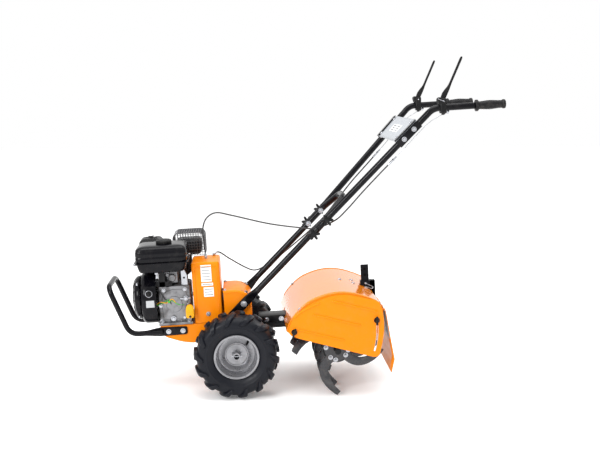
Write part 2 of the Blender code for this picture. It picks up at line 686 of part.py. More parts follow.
# ---- levers, panel and cables ----------------------------------------------------
LEVER_X = 0.824
LEVER_LEAN = 25.7
for side, word in ((-1, "left"), (1, "right")):
    seat = along_handle(LEVER_X, side)
    bm = bmesh.new()
    box_between(bm, seat - Vector((0.012, 0.0165, 0.0215)), seat + Vector((0.012, 0.0165, 0.034)))
    bracket = mesh_object("lever_bracket_" + word, bm, "black_plastic")
    bm = bmesh.new()
    rod_between(bm, along_handle(0.80, side), along_handle(0.85, side), TUBE_R + CLEAR, 16)
    solid(bracket, "DIFFERENCE", bm, "tube_bore")
    bm = bmesh.new()
    box_between(bm, seat + Vector((-0.030, -0.0045, 0.017)), seat + Vector((0.030, 0.0045, 0.060)))
    solid(bracket, "DIFFERENCE", bm, "lever_slot")
    turns = pivot(f"lever_{word}_axis", seat + Vector((0, 0, 0.0250)), ry=LEVER_LEAN)
    blade = [(-0.0055, 0.0), (-0.006, 0.030), (-0.0075, 0.165), (-0.004, 0.176), (0.004, 0.176),
             (0.0065, 0.165), (0.006, 0.030), (0.0055, 0.0), (0.0, -0.004)]
    plate("clutch_lever_" + word, blade, -0.004, 0.004, "black_plastic", parent=turns)

# The panel lies over both tubes and wraps their outer sides.
low_at, high_at = Vector((0.657, 0, 0.7709)), Vector((0.7365, 0, 0.8495))
rise = (high_at - low_at).normalized()
over = Vector((-rise.z, 0, rise.x))


def panel_point(at, half, up):
    """A point this far above the panel's line and this far out."""
    return at + over * up + Vector((0, half, 0))


rows = []
for at, tube_y in ((low_at, 0.2130), (high_at, 0.2325)):
    edge = tube_y + TUBE_R + 0.004
    rows.append([panel_point(at, -edge, -0.004), panel_point(at, -edge, 0.0165),
                 panel_point(at, edge, 0.0165), panel_point(at, edge, -0.004)])
sheet("control_panel", rows, "panel_grey", 0.002, offset=0.0)

def under_handle(side):
    """The last run of each cable, below its handle tube and up to its lever."""
    run = [(0.455, 0.172, 0.530), (0.520, 0.190, 0.600), (0.594, 0.200, 0.673), (0.660, 0.214, 0.737),
           (0.760, 0.238, 0.838), (0.805, 0.2445, 0.867), (0.824, 0.2453, 0.8765)]
    return [(x, side * y, z) for x, y, z in run]


TINE_CABLE = [(-0.100, -0.020, 0.352), (-0.103, -0.020, 0.400), (-0.106, -0.020, 0.460),
              (-0.090, -0.018, 0.508), (-0.050, -0.014, 0.530), (0.010, -0.010, 0.516),
              (0.124, -0.004, 0.481), (0.187, -0.002, 0.465), (0.270, -0.020, 0.452),
              (0.340, -0.075, 0.452), (0.410, -0.140, 0.487)] + under_handle(-1)
DRIVE_CABLE = [(-0.075, 0.040, 0.352), (-0.050, 0.042, 0.362), (-0.008, 0.055, 0.330),
               (0.050, 0.090, 0.285), (0.090, 0.125, 0.262), (0.130, 0.147, 0.270),
               (0.200, 0.149, 0.312), (0.290, 0.150, 0.378), (0.345, 0.150, 0.422),
               (0.400, 0.156, 0.470)] + under_handle(1)
tube("tine_clutch_cable", smooth_path(TINE_CABLE, 3), 0.0026, "cable_black", 1)
tube("drive_clutch_cable", smooth_path(DRIVE_CABLE, 3), 0.0026, "cable_black", 1)

# ---- tine drive and rotor --------------------------------------------------------
ROTOR = pivot("rotor_axis", (ROTOR_X, 0, ROTOR_Z))
bm = bmesh.new()
rod_between(bm, (0.031, 0, 0.065), (0.3395, 0, 0.065), 0.022, 16)
drive_tube = mesh_object("drive_tube", bm, "black_paint")
bm = bmesh.new()
box_between(bm, (0.095, -0.040, 0.074), (0.330, 0.040, 0.104))
solid(drive_tube, "UNION", bm, "rail")

case_outline = (arc((ROTOR_X, ROTOR_Z), 0.052, 200, 380, 10)
                + [(0.445, 0.075), (0.425, 0.105), (0.340, 0.105), (0.340, 0.030)])
plate("tine_gear_case", case_outline, -0.022, 0.022, "cast_iron",
      [ring(0.0140, 16, (ROTOR_X, ROTOR_Z))])

FLANGE_R = 0.056
FLANGE_Y = (0.0700, 0.1900)


def flange_pair():
    """The rotor shaft's profile with a disc on each side for every set of tines."""
    half = WORK_HALF - 0.010
    stations = [-half]
    profile = [(0.0125, half)]
    for y in (FLANGE_Y[1], FLANGE_Y[0], -FLANGE_Y[0], -FLANGE_Y[1]):
        profile += [(0.0125, y + 0.003), (FLANGE_R, y + 0.003), (FLANGE_R, y - 0.003),
                    (0.0125, y - 0.003)]
    return profile + [(0.0125, stations[0]), (0.0, stations[0]), (0.0, half)]


turned("rotor_shaft", flange_pair(), place(rx=90), "cast_iron", 20, ROTOR)


def tine_points(count, side):
    """The tine's middle line and width: a hooked blade whose tip turns sideways."""
    a, b, c, d = (Vector(p) for p in ((-0.004, -0.030), (-0.052, -0.088), (-0.006, -0.142),
                                      (0.056, -0.154)))
    rows = []
    for i in range(count + 1):
        t = i / count
        mid = a * (1 - t) ** 3 + b * 3 * t * (1 - t) ** 2 + c * 3 * t * t * (1 - t) + d * t ** 3
        run = (b - a) * (1 - t) ** 2 + (c - b) * 2 * t * (1 - t) + (d - c) * t * t
        run.normalize()
        late = max(0.0, (t - 0.45) / 0.55)
        turn_out = math.radians(38) * late
        half = 0.0185 - 0.004 * t
        across = Vector((-run.y * math.cos(turn_out), side * math.sin(turn_out),
                         run.x * math.cos(turn_out))) * half
        middle = Vector((mid.x, side * 0.030 * late ** 2, mid.y))
        rows.append((middle + across, middle - across))
    return rows


def tine_reach():
    """How far a tine's tip gets from the shaft."""
    return max(math.hypot(p.x, p.z) for row in tine_points(8, 1) for p in row)


def lowest_turn():
    """The angle that brings the tine's furthest corner straight down."""
    far = max((p for row in tine_points(8, 1) for p in row), key=lambda p: math.hypot(p.x, p.z))
    return math.degrees(math.atan2(-far.x, -far.z))


TINE_SCALE = (TINE_R - 0.0005) / tine_reach()
TINE_PHASE = -lowest_turn() + math.degrees(PITCH)


def tine_set(name, flange, side):
    """Four tines on one flange, a quarter turn apart, joined by their mounting ring."""
    y = flange + side * (0.003 + CLEAR + 0.003)
    bm = bmesh.new()
    for quarter in range(4):
        lay = Matrix.Rotation(math.radians(TINE_PHASE + 90 * quarter), 4, "Y")
        rows = [[lay @ Vector((p.x * TINE_SCALE, y + p.y, p.z * TINE_SCALE)) for p in row]
                for row in tine_points(8, side)]
        grid = [[bm.verts.new(p) for p in row] for row in rows]
        for low, high in zip(grid, grid[1:]):
            bm.faces.new((low[0], low[1], high[1], high[0]))
    tines = mesh_object(name, bm, "tine_steel", ROTOR)
    thicken(tines, 0.005, 0.0)
    hub = turned(name + "_ring", [(0.050, 0.0025), (0.050, -0.0025), (0.0135, -0.0025),
                                  (0.0135, 0.0025)], place((0, y, 0), rx=90), None, 16, ROTOR, True)
    join = tines.modifiers.new("ring", "BOOLEAN")
    join.operation = "UNION"
    join.solver = "EXACT"
    join.object = hub


for side, word in ((-1, "left"), (1, "right")):
    tine_set(f"tines_{word}_inner", side * FLANGE_Y[0], side)
    tine_set(f"tines_{word}_outer", side * FLANGE_Y[1], side)

# ---- hood, side panels, flap and depth stake --------------------------------------
CHEEK_Y = WORK_HALF
HOOD_LINE = [(0.196, 0.088), (0.216, 0.128), (0.247, 0.164), (0.285, 0.194), (0.330, 0.213),
             (0.378, 0.2235), (0.425, 0.224), (0.482, 0.211), (0.548, 0.181), (0.570, 0.150)]
STAKE = ((0.519, -0.004, -0.085), (0.551, 0.004, 0.280))
rows = [[(x, y, z) for x, z in HOOD_LINE] for y in (-CHEEK_Y, CHEEK_Y)]
hood = sheet("hood_top", rows, "orange", SHEET, offset=0.0)
cheek = HOOD_LINE + [(0.566, 0.100), (0.556, 0.050), (0.500, 0.075), (0.430, 0.105),
                     (0.330, 0.112), (0.255, 0.090), (0.225, 0.072), (0.212, 0.075)]
for side in (-1, 1):
    bm = bmesh.new()
    loop = [bm.verts.new((x, side * (CHEEK_Y - 0.0015), z)) for x, z in cheek]
    face = bm.faces.new(loop)
    made = bmesh.ops.extrude_face_region(bm, geom=[face])
    grown = [v for v in made["geom"] if isinstance(v, bmesh.types.BMVert)]
    bmesh.ops.translate(bm, vec=(0, -side * 0.003, 0), verts=grown)
    bmesh.ops.recalc_face_normals(bm, faces=bm.faces)
    solid(hood, "UNION", bm, f"cheek_{side + 1}")
bm = bmesh.new()
box_between(bm, (0.5140, -0.0145, 0.120), (0.5760, 0.0145, 0.250))
box_between(bm, (0.180, -0.043, 0.050), (0.230, 0.043, 0.107))
solid(hood, "DIFFERENCE", bm, "clearances")

PANEL_FRONT = (0.225, 0.084)          # the panel turns about this wing knob
SLOT_R = math.hypot(0.543 - PANEL_FRONT[0], 0.109 - PANEL_FRONT[1])
SLOT_TOP = math.degrees(math.atan2(0.109 - PANEL_FRONT[1], 0.543 - PANEL_FRONT[0]))
SLOT_DROP = 22.0
panel_line = ([(0.204, 0.098), (0.203, 0.084), (0.212, 0.071), (0.240, 0.058),
               (0.522, -0.034), (0.538, -0.035), (0.550, -0.025),
               (0.570, 0.058), (0.571, 0.125), (0.556, 0.178), (0.545, 0.186)]
              + [(0.477, 0.207), (0.425, 0.219), (0.372, 0.216), (0.310, 0.198), (0.261, 0.173),
                 (0.222, 0.138)])
panel_line = list(reversed(panel_line))


def slot(grow):
    """The slot's outline: two arcs about the front knob and round ends."""
    outer = arc(PANEL_FRONT, SLOT_R + grow, SLOT_TOP + 0.6, SLOT_TOP - SLOT_DROP, 8)
    inner = arc(PANEL_FRONT, SLOT_R - grow, SLOT_TOP - SLOT_DROP, SLOT_TOP + 0.6, 8)
    return outer + inner


PANEL_Y = CHEEK_Y + CLEAR + 0.0002
for side, word in ((-1, "left"), (1, "right")):
    turns = pivot(f"side_panel_{word}_axis", (PANEL_FRONT[0], 0, PANEL_FRONT[1]))
    low, high = sorted((side * PANEL_Y, side * (PANEL_Y + SHEET)))
    plate("side_panel_" + word, panel_line, low, high, "orange",
          [slot(0.0038), ring(0.0045, 10, PANEL_FRONT)], turns,
          Matrix.Translation((-PANEL_FRONT[0], 0, -PANEL_FRONT[1])))

FLAP_HINGE = (0.5765, 0.1440)
flap_line = [(0.5790, 0.142), (0.5835, 0.115), (0.594, 0.030), (0.606, -0.051), (0.592, -0.103)]
FLAP = pivot("flap_axis", (FLAP_HINGE[0], 0, FLAP_HINGE[1]))
rows = [[(x - FLAP_HINGE[0], y, z - FLAP_HINGE[1]) for x, z in flap_line]
        for y in (-0.246, 0.246)]
sheet("rear_flap", rows, "orange", SHEET, FLAP, offset=0.0)

bm = bmesh.new()
box_between(bm, (0.5145, -0.0140, 0.085), (0.5745, 0.0140, 0.216))
bracket = mesh_object("stake_bracket", bm, "black_paint")
bm = bmesh.new()
box_between(bm, (0.4455, -0.0120, 0.085), (0.5160, 0.0120, 0.103))
solid(bracket, "UNION", bm, "arm")
bm = bmesh.new()
box_between(bm, (STAKE[0][0] - CLEAR, STAKE[0][1] - CLEAR, 0.0),
            (STAKE[1][0] + CLEAR, STAKE[1][1] + CLEAR, 0.3))
solid(bracket, "DIFFERENCE", bm, "stake_hole")
HOLD = pivot("stake_axis", (0.535, 0, 0.0))
bm = bmesh.new()
box_between(bm, Vector(STAKE[0]) - Vector((0.535, 0, 0)), Vector(STAKE[1]) - Vector((0.535, 0, 0)))
mesh_object("depth_stake", bm, "black_paint", HOLD)
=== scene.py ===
"""Rear-tine garden tiller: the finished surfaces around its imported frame.

Shapes are laid out in the chassis frame: metres from the middle of the wheel axle, with
x towards the handles, y towards the operator's far side and z square to the engine base.
"""
import math
import json
import bpy
import bmesh
import numpy as np
from mathutils.geometry import tessellate_polygon
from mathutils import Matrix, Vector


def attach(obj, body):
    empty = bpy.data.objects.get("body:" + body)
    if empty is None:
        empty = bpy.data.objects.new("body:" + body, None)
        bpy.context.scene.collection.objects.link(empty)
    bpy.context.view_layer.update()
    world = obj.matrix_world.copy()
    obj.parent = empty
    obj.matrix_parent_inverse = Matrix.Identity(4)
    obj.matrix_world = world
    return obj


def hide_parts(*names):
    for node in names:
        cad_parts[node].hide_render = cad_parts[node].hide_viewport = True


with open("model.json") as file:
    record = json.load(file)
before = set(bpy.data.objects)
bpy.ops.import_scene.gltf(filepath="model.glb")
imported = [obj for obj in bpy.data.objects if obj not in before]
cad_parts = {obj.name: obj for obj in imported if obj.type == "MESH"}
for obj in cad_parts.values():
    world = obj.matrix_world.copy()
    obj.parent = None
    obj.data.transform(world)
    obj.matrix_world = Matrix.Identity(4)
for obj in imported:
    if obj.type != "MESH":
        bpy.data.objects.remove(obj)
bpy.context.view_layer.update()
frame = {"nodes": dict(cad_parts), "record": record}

# ---- the chassis frame in the world -------------------------------------------------
JOINTS = {joint["name"]: joint for joint in frame["record"]["behaviour"]["joints"]}
AXLE = np.array(JOINTS["wheels_roll"]["pos_m"])
CHASSIS_X = np.array(JOINTS["crank_spin"]["axis"], float)
CHASSIS_X /= np.linalg.norm(CHASSIS_X)
CHASSIS_Z = np.array([-CHASSIS_X[2], 0.0, CHASSIS_X[0]])
TO_WORLD = np.array([CHASSIS_X, (0.0, 1.0, 0.0), CHASSIS_Z])


def placed(points):
    """Chassis points as world points."""
    return AXLE + np.asarray(points, float) @ TO_WORLD


# ---- surfaces ---------------------------------------------------------------------
FORE, AFT, LEFT, RIGHT, DOWN, UP = (-1, 0, 0), (1, 0, 0), (0, -1, 0), (0, 1, 0), (0, 0, -1), (0, 0, 1)


def unit(v):
    """A vector, or each of several, at length one."""
    v = np.asarray(v, float)
    return v / np.linalg.norm(v, axis=-1, keepdims=True)


def around(count):
    """Equal angles round a circle."""
    return np.linspace(0, 2 * math.pi, count, endpoint=False)


def squircle(t, power):
    """The unit superellipse |x|^n + |y|^n = 1 at the angles t: a circle at n = 2, squarer above."""
    c, s = np.cos(t), np.sin(t)
    r = 1 / (np.abs(c) ** power + np.abs(s) ** power) ** (1 / power)
    return r * c, r * s


def grid_quads(rows, cols, wrap_rows, wrap_cols, first=0):
    """Quads over a grid of points numbered row by row."""
    i = np.arange(rows if wrap_rows else rows - 1)[:, None]
    j = np.arange(cols if wrap_cols else cols - 1)[None, :]
    i2, j2 = (i + 1) % rows, (j + 1) % cols
    quads = np.stack([i * cols + j, i2 * cols + j, i2 * cols + j2, i * cols + j2], axis=-1)
    return (quads.reshape(-1, 4) + first).tolist()


def joined(*parts):
    """Several closed shapes as one list of points and faces."""
    points, faces, count = [], [], 0
    for p, f in parts:
        points.append(np.asarray(p, float))
        faces += [[i + count for i in face] for face in f]
        count += len(p)
    return np.concatenate(points), faces


def make(name, material, *shapes, body="frame", replaces=(), smooth=40.0):
    """One finished piece from closed shapes of points and faces, riding on a body."""
    points, faces = joined(*shapes)
    mesh = bpy.data.meshes.new(name)
    mesh.from_pydata(placed(points).tolist(), [], faces)
    shape = bmesh.new()
    shape.from_mesh(mesh)
    bmesh.ops.recalc_face_normals(shape, faces=shape.faces)
    shape.to_mesh(mesh)
    shape.free()
    mesh.materials.append(material)
    obj = bpy.data.objects.new(name, mesh)
    bpy.context.scene.collection.objects.link(obj)
    mesh.shade_smooth()
    mesh.set_sharp_from_angle(angle=math.radians(smooth))
    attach(obj, body)
    if replaces:
        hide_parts(*replaces)
    return obj


def basis(along, up=UP):
    """Three unit axes whose third runs along a direction."""
    w = unit(along)
    up = np.asarray(up, float)
    if abs(w @ unit(up)) > 0.98:
        up = np.array([1.0, 0.0, 0.0])
    u = unit(np.cross(up, w))
    return np.array([u, np.cross(w, u), w])


def lathe(profile, at, along, sides=48, up=UP, closed=False):
    """Turns a profile of (radius, height) about an axis: p = at + r cos t u + r sin t v + h w.

    An open profile gives an open surface, for Solidify to thicken.
    """
    r, h = np.asarray(profile, float).T
    t = around(sides)
    ring = np.stack([np.outer(r, np.cos(t)), np.outer(r, np.sin(t)),
        np.repeat(h[:, None], sides, axis=1)], axis=-1)
    points = np.asarray(at, float) + ring.reshape(-1, 3) @ basis(along, up)
    return points, grid_quads(len(r), sides, closed, True)


def closed_lathe(profile, at, along, sides=48):
    """A turned solid whose profile is a closed loop, run anticlockwise in (radius, height)."""
    return lathe(profile, at, along, sides, closed=True)


def frames_along(path):
    """Unit tangents and two side vectors that turn as little as they can along a path."""
    path = np.asarray(path, float)
    tangent = unit(np.gradient(path, axis=0))
    side = basis(tangent[0])[0]
    sides = []
    for t in tangent:
        side = unit(side - (side @ t) * t)
        sides.append(side)
    sides = np.array(sides)
    return tangent, sides, np.cross(tangent, sides)


def pipe(path, radius, sides=20, round_end=0.0):
    """A round bar: circles of the given radius carried along the path, with domed ends."""
    path = np.asarray(path, float)
    radius = np.broadcast_to(np.asarray(radius, float), (len(path),)).copy()
    tangent, u, v = frames_along(path)
    steps = np.array([0.0, 0.45, 0.8, 0.97])
    r0, r1 = radius[0], radius[-1]
    dome0 = [path[0] - tangent[0] * round_end * math.sin(math.acos(s)) for s in steps]
    dome1 = [path[-1] + tangent[-1] * round_end * math.sin(math.acos(s)) for s in steps[::-1]]
    path = np.concatenate([dome0, path, dome1])
    radius = np.concatenate([r0 * steps, radius, r1 * steps[::-1]])
    radius[0] = radius[-1] = 0.0
    u = np.concatenate([np.repeat(u[:1], 4, 0), u, np.repeat(u[-1:], 4, 0)])
    v = np.concatenate([np.repeat(v[:1], 4, 0), v, np.repeat(v[-1:], 4, 0)])
    t = around(sides)
    rings = (path[:, None] + radius[:, None, None] * (np.cos(t)[None, :, None] * u[:,
        None] + np.sin(t)[None, :, None] * v[:, None]))
    faces = grid_quads(len(path), sides, False, True)
    return weld_poles(rings.reshape(-1, 3), faces, len(path), sides)


def weld_poles(points, faces, rows, cols):
    """Makes the first and last rows, each shrunk to a point, one vertex each."""
    index = np.arange(rows * cols)
    index[:cols] = 0
    index[-cols:] = index[-cols]
    used = np.unique(index)
    renumber = np.zeros(rows * cols, int)
    renumber[used] = np.arange(len(used))
    tidy = []
    for face in faces:
        loop = []
        for k in face:
            k = int(renumber[index[k]])
            if k not in loop:
                loop.append(k)
        if len(loop) > 2:
            tidy.append(loop)
    return points[used], tidy


def turned(profile, at, along, sides=48, up=UP):
    """A turned solid whose profile starts and ends on its axis, run from the low end up."""
    points, faces = lathe(profile, at, along, sides, up)
    return weld_poles(points, faces, len(profile), sides)


def boss(profile, at, along, sides=48, up=UP):
    """A turned solid with flat ends: the profile gains a point on the axis at either end."""
    ends = (0, profile[0][1]), (0, profile[-1][1])
    return turned([ends[0], *profile, ends[1]], at, along, sides, up)


def fillet_steps(radius, steps=3):
    """Insets and heights round a quarter circle, from its foot to its top."""
    a = np.linspace(0, math.pi / 2, steps + 1)
    return radius * (1 - np.cos(a)), radius * np.sin(a)


def inset(outline, amount):
    """A closed anticlockwise outline moved inwards by an amount at each corner."""
    p = np.asarray(outline, float)
    before, after = unit(p - np.roll(p, 1, 0)), unit(np.roll(p, -1, 0) - p)
    normal = np.stack([-(before + after)[:, 1], (before + after)[:, 0]], axis=-1)
    normal = unit(normal)
    half = np.maximum(0.35, np.einsum("ij,ij->i", before, after) * 0.5 + 0.5) ** 0.5
    return p + normal * (amount / half)[:, None]


def slab(outline, low, high, round_edge=0.001, steps=2, axes="xz"):
    """A plate: an outline in a plane, thickened along the third axis, its edges rounded.

    The outline runs anticlockwise seen from the third axis's positive end.
    """
    outline = np.asarray(outline, float)
    count = len(outline)
    ins, ups = fillet_steps(round_edge, steps)
    rings = [(inset(outline, ins[-1 - k]), low + round_edge - ups[-1 - k]) for k in range(steps + 1)]
    rings += [(inset(outline, ins[k]), high - round_edge + ups[k]) for k in range(steps + 1)]
    rows = []
    for ring, level in rings:
        level = np.full(count, level)
        a, b = ring.T
        rows.append(np.stack({"xz": (a, -level, b), "xy": (a, b, level), "yz": (level, a, b)}[axes],
            axis=-1))
    points = np.concatenate(rows)
    faces = grid_quads(len(rows), count, False, True)
    faces.append(list(range(count)))
    last = (len(rows) - 1) * count
    faces.append(list(range(last, last + count)))
    return points, faces


# ---- effects that several finishes share ---------------------------------------------
class Nodes:
    """Adds nodes to one tree in short calls."""

    def __init__(self, tree):
        """Keeps the tree that the nodes go in."""
        self.tree = tree

    def add(self, kind, **settings):
        """A new node with its settings."""
        node = self.tree.nodes.new(kind)
        for key, value in settings.items():
            setattr(node, key, value)
        return node

    def link(self, a, b):
        """Joins an output to an input."""
        self.tree.links.new(a, b)

    def give(self, sockets, values):
        """Sets each socket to a number or a colour, or links an output to it."""
        for socket, value in zip(sockets, values):
            if isinstance(value, (int, float)):
                socket.default_value = value
            elif isinstance(value, tuple):
                socket.default_value = (*value, 1.0)
            else:
                self.link(value, socket)

    def noise(self, where, scale, detail, roughness):
        """A fractal noise from 0 to 1."""
        node = self.add("ShaderNodeTexNoise")
        node.inputs["Scale"].default_value = scale
        node.inputs["Detail"].default_value = detail
        node.inputs["Roughness"].default_value = roughness
        self.link(where, node.inputs["Vector"])
        return node.outputs["Fac"]

    def ramp(self, value, low, high, to_low=0.0, to_high=1.0):
        """A smooth step of a value between two levels."""
        node = self.add("ShaderNodeMapRange", interpolation_type="SMOOTHSTEP")
        for socket, number in zip(("From Min", "From Max", "To Min", "To Max"),
                (low, high, to_low, to_high)):
            node.inputs[socket].default_value = number
        self.link(value, node.inputs["Value"])
        return node.outputs["Result"]

    def math(self, operation, a, b):
        """Two numbers or outputs under one operation."""
        node = self.add("ShaderNodeMath", operation=operation)
        self.give(node.inputs, (a, b))
        return node.outputs[0]

    def mix(self, amount, a, b):
        """Colour a turned into colour b by an amount."""
        node = self.add("ShaderNodeMix", data_type="RGBA")
        self.give((node.inputs["Factor"], node.inputs[6], node.inputs[7]), (amount, a, b))
        return node.outputs[2]


def new_group(name, inputs, outputs):
    """An empty shader group with named inputs and outputs."""
    tree = bpy.data.node_groups.new(name, "ShaderNodeTree")
    for label, kind, value in inputs:
        socket = tree.interface.new_socket(name=label, in_out="INPUT", socket_type=kind)
        socket.default_value = (*value, 1.0) if isinstance(value, tuple) else value
    for label, kind in outputs:
        tree.interface.new_socket(name=label, in_out="OUTPUT", socket_type=kind)
    n = Nodes(tree)
    return n, n.add("NodeGroupInput").outputs, n.add("NodeGroupOutput").inputs


RELIEF_DEPTH = 0.0004
FLOAT, COLOUR, VECTOR = "NodeSocketFloat", "NodeSocketColor", "NodeSocketVector"


def surface_age_group():
    """Colour drift, thin dust in broad patches, uneven gloss and a fine skin."""
    n, given, out = new_group("surface_age", [("Where", VECTOR, (0.0, 0.0)),
        ("Colour", COLOUR, (0.5, 0.5, 0.5)), ("Dust Colour", COLOUR, (0.4, 0.38, 0.35)),
        ("Roughness", FLOAT, 0.4), ("Drift", FLOAT, 0.1), ("Dust", FLOAT, 0.05),
        ("Skin Scale", FLOAT, 900.0)], [("Colour", COLOUR), ("Roughness", FLOAT), ("Height", FLOAT)])
    where = given["Where"]
    broad = n.noise(where, 7.0, 4.0, 0.55)
    patches = n.noise(where, 38.0, 5.0, 0.65)
    dark = n.add("ShaderNodeHueSaturation")
    dark.inputs["Value"].default_value = 0.72
    n.link(given["Colour"], dark.inputs["Color"])
    drifted = n.mix(n.math("MULTIPLY", broad, given["Drift"]), given["Colour"], dark.outputs["Color"])
    dust = n.math("MULTIPLY", n.ramp(patches, 0.46, 0.7), given["Dust"])
    n.link(n.mix(dust, drifted, given["Dust Colour"]), out["Colour"])
    uneven = n.math("MULTIPLY", n.ramp(patches, 0.3, 0.7, -0.5, 0.5), given["Drift"])
    rough = n.math("ADD", given["Roughness"], uneven)
    n.link(n.math("ADD", rough, n.math("MULTIPLY", dust, 0.6)), out["Roughness"])
    skin = n.add("ShaderNodeTexNoise")
    skin.inputs["Detail"].default_value = 2.0
    n.link(where, skin.inputs["Vector"])
    n.link(given["Skin Scale"], skin.inputs["Scale"])
    n.link(skin.outputs["Fac"], out["Height"])
    return n.tree


def cast_grain_group():
    """A casting's pebbled skin: small cells over a fine noise, darker in the pits."""
    n, given, out = new_group("cast_grain", [("Where", VECTOR, (0.0, 0.0)),
        ("Colour", COLOUR, (0.5, 0.5, 0.5)), ("Pit Colour", COLOUR, (0.1, 0.1, 0.1)),
        ("Scale", FLOAT, 700.0), ("Pits", FLOAT, 0.4)], [("Colour", COLOUR), ("Roughness", FLOAT),
        ("Height", FLOAT)])
    cells = n.add("ShaderNodeTexVoronoi", feature="SMOOTH_F1")
    n.link(given["Where"], cells.inputs["Vector"])
    n.link(given["Scale"], cells.inputs["Scale"])
    grain = n.noise(given["Where"], 260.0, 4.0, 0.7)
    stain = n.noise(given["Where"], 22.0, 5.0, 0.6)
    pit = n.math("MULTIPLY", n.ramp(stain, 0.42, 0.72), given["Pits"])
    n.link(n.mix(pit, given["Colour"], given["Pit Colour"]), out["Colour"])
    n.link(n.ramp(grain, 0.3, 0.7, 0.38, 0.58), out["Roughness"])
    n.link(n.math("ADD", cells.outputs["Distance"], grain), out["Height"])
    return n.tree


AGE = surface_age_group()
GRAIN = cast_grain_group()


def use_group(n, tree, values):
    """Places a shared effect in a material with its own values and returns its outputs."""
    node = n.add("ShaderNodeGroup", node_tree=tree)
    n.give([node.inputs[label] for label in values], values.values())
    return node.outputs


def start_material(name):
    """A material with its shader, and the object's own coordinates."""
    mat = bpy.data.materials.new(name)
    mat.use_nodes = True
    n = Nodes(mat.node_tree)
    shader = mat.node_tree.nodes["Principled BSDF"]
    where = n.add("ShaderNodeTexCoord").outputs["Object"]
    return mat, n, shader, where


def bump(n, shader, height, strength):
    """A fine relief on the shader's normal."""
    node = n.add("ShaderNodeBump")
    node.inputs["Strength"].default_value = strength
    node.inputs["Distance"].default_value = RELIEF_DEPTH
    n.link(height, node.inputs["Height"])
    n.link(node.outputs["Normal"], shader.inputs["Normal"])


def painted(name, colour, roughness, coat=0.0, metallic=0.0, drift=0.12, dust=0.04, skin=900.0,
        relief=0.12, dust_colour=(0.42, 0.39, 0.35), shine=0.5):
    """Paint, enamel, rubber or moulded plastic, from one shared ageing effect."""
    mat, n, shader, where = start_material(name)
    shader.inputs["Specular IOR Level"].default_value = shine
    shader.inputs["Metallic"].default_value = metallic
    shader.inputs["Coat Weight"].default_value = coat
    shader.inputs["Coat Roughness"].default_value = 0.08
    aged = use_group(n, AGE, {"Where": where, "Colour": colour, "Dust Colour": dust_colour,
        "Roughness": roughness, "Drift": drift, "Dust": dust, "Skin Scale": skin})
    n.link(aged["Colour"], shader.inputs["Base Color"])
    n.link(aged["Roughness"], shader.inputs["Roughness"])
    bump(n, shader, aged["Height"], relief)
    return mat


CAST_RELIEF = 0.25


def cast(name, colour, pit, metallic, scale=700.0, pits=0.4):
    """A sand or die casting, from the shared grain effect."""
    mat, n, shader, where = start_material(name)
    shader.inputs["Metallic"].default_value = metallic
    grained = use_group(n, GRAIN, {"Where": where, "Colour": colour, "Pit Colour": pit, "Scale": scale,
        "Pits": pits})
    n.link(grained["Colour"], shader.inputs["Base Color"])
    n.link(grained["Roughness"], shader.inputs["Roughness"])
    bump(n, shader, grained["Height"], CAST_RELIEF)
    return mat


ORANGE_PAINT = (0.8, 0.215, 0.0)
ORANGE = painted("orange_powder_coat", ORANGE_PAINT, 0.34, coat=0.05, shine=0.12, drift=0.1, dust=0.02,
    skin=620.0, relief=0.1)
ENAMEL = painted("black_enamel", (0.0025, 0.0025, 0.004), 0.16, coat=0.05, shine=0.13, drift=0.06,
    dust=0.015, skin=500.0, relief=0.08)
# The same satin black also serves as painted shade: dark discs and rings laid in the dipstick, bracket
# and cover holes.
SATIN_BLACK_AND_HOLE_SHADE = painted("satin_black_and_hole_shade", (0.004, 0.004, 0.005), 0.36, drift=0.15, dust=0.02, skin=1200.0,
    shine=0.22)
PLASTIC = painted("moulded_plastic", (0.0045, 0.0045, 0.005), 0.38, drift=0.1, dust=0.02, skin=1500.0,
    shine=0.22, relief=0.25)
GRIP_RUBBER = painted("grip_rubber", (0.006, 0.006, 0.007), 0.5, shine=0.22, drift=0.15, dust=0.06,
    skin=1300.0, relief=0.3)
TYRE_RUBBER = painted("tyre_rubber", (0.004, 0.0048, 0.0085), 0.4, drift=0.25, dust=0.03, shine=0.2,
    skin=700.0, relief=0.3, dust_colour=(0.09, 0.085, 0.08))
RIM_PAINT = painted("rim_silver_paint", (0.27, 0.27, 0.285), 0.33, coat=0.1, metallic=0.8, drift=0.25,
    dust=0.1, skin=850.0, dust_colour=(0.16, 0.14, 0.12))
ZINC = painted("zinc_plate", (0.44, 0.45, 0.48), 0.26, metallic=1.0, drift=0.2, dust=0.05, skin=400.0)
TINE_STEEL = painted("tine_steel", (0.02, 0.02, 0.024), 0.33, coat=0.3, metallic=0.3, drift=0.3,
    dust=0.08, skin=450.0, relief=0.3)
ALUMINIUM = cast("cast_aluminium", (0.24, 0.24, 0.25), (0.04, 0.038, 0.035), 0.85, pits=0.8)
IRON = cast("cast_iron", (0.035, 0.035, 0.038), (0.015, 0.012, 0.01), 0.5, 420.0)
YELLOW = painted("yellow_plastic", (0.8, 0.36, 0.0), 0.34, coat=0.1, shine=0.25, drift=0.1, dust=0.03)
CABLE = painted("cable_sheath", (0.01, 0.01, 0.011), 0.38, drift=0.1, dust=0.02, skin=2500.0)
LABEL = painted("label_white", (0.8, 0.81, 0.82), 0.35, drift=0.04, dust=0.03, relief=0.03)
# The same grey also serves as painted shade on the flap's front face.
LABEL_AND_SHADE_GREY = painted("label_and_flap_shade_grey", (0.42, 0.43, 0.44), 0.35, metallic=0.3, drift=0.2, relief=0.03)
LABEL_INK = painted("label_ink", (0.1, 0.1, 0.11), 0.45, drift=0.1, relief=0.03)
PANEL_GREY = painted("panel_print", (0.3, 0.32, 0.35), 0.33, coat=0.4, drift=0.1, dust=0.03)
CERAMIC = painted("ceramic", (0.83, 0.82, 0.79), 0.18, coat=0.5, drift=0.05, dust=0.05)
GREEN = painted("green_wire", (0.05, 0.36, 0.03), 0.4, drift=0.1)
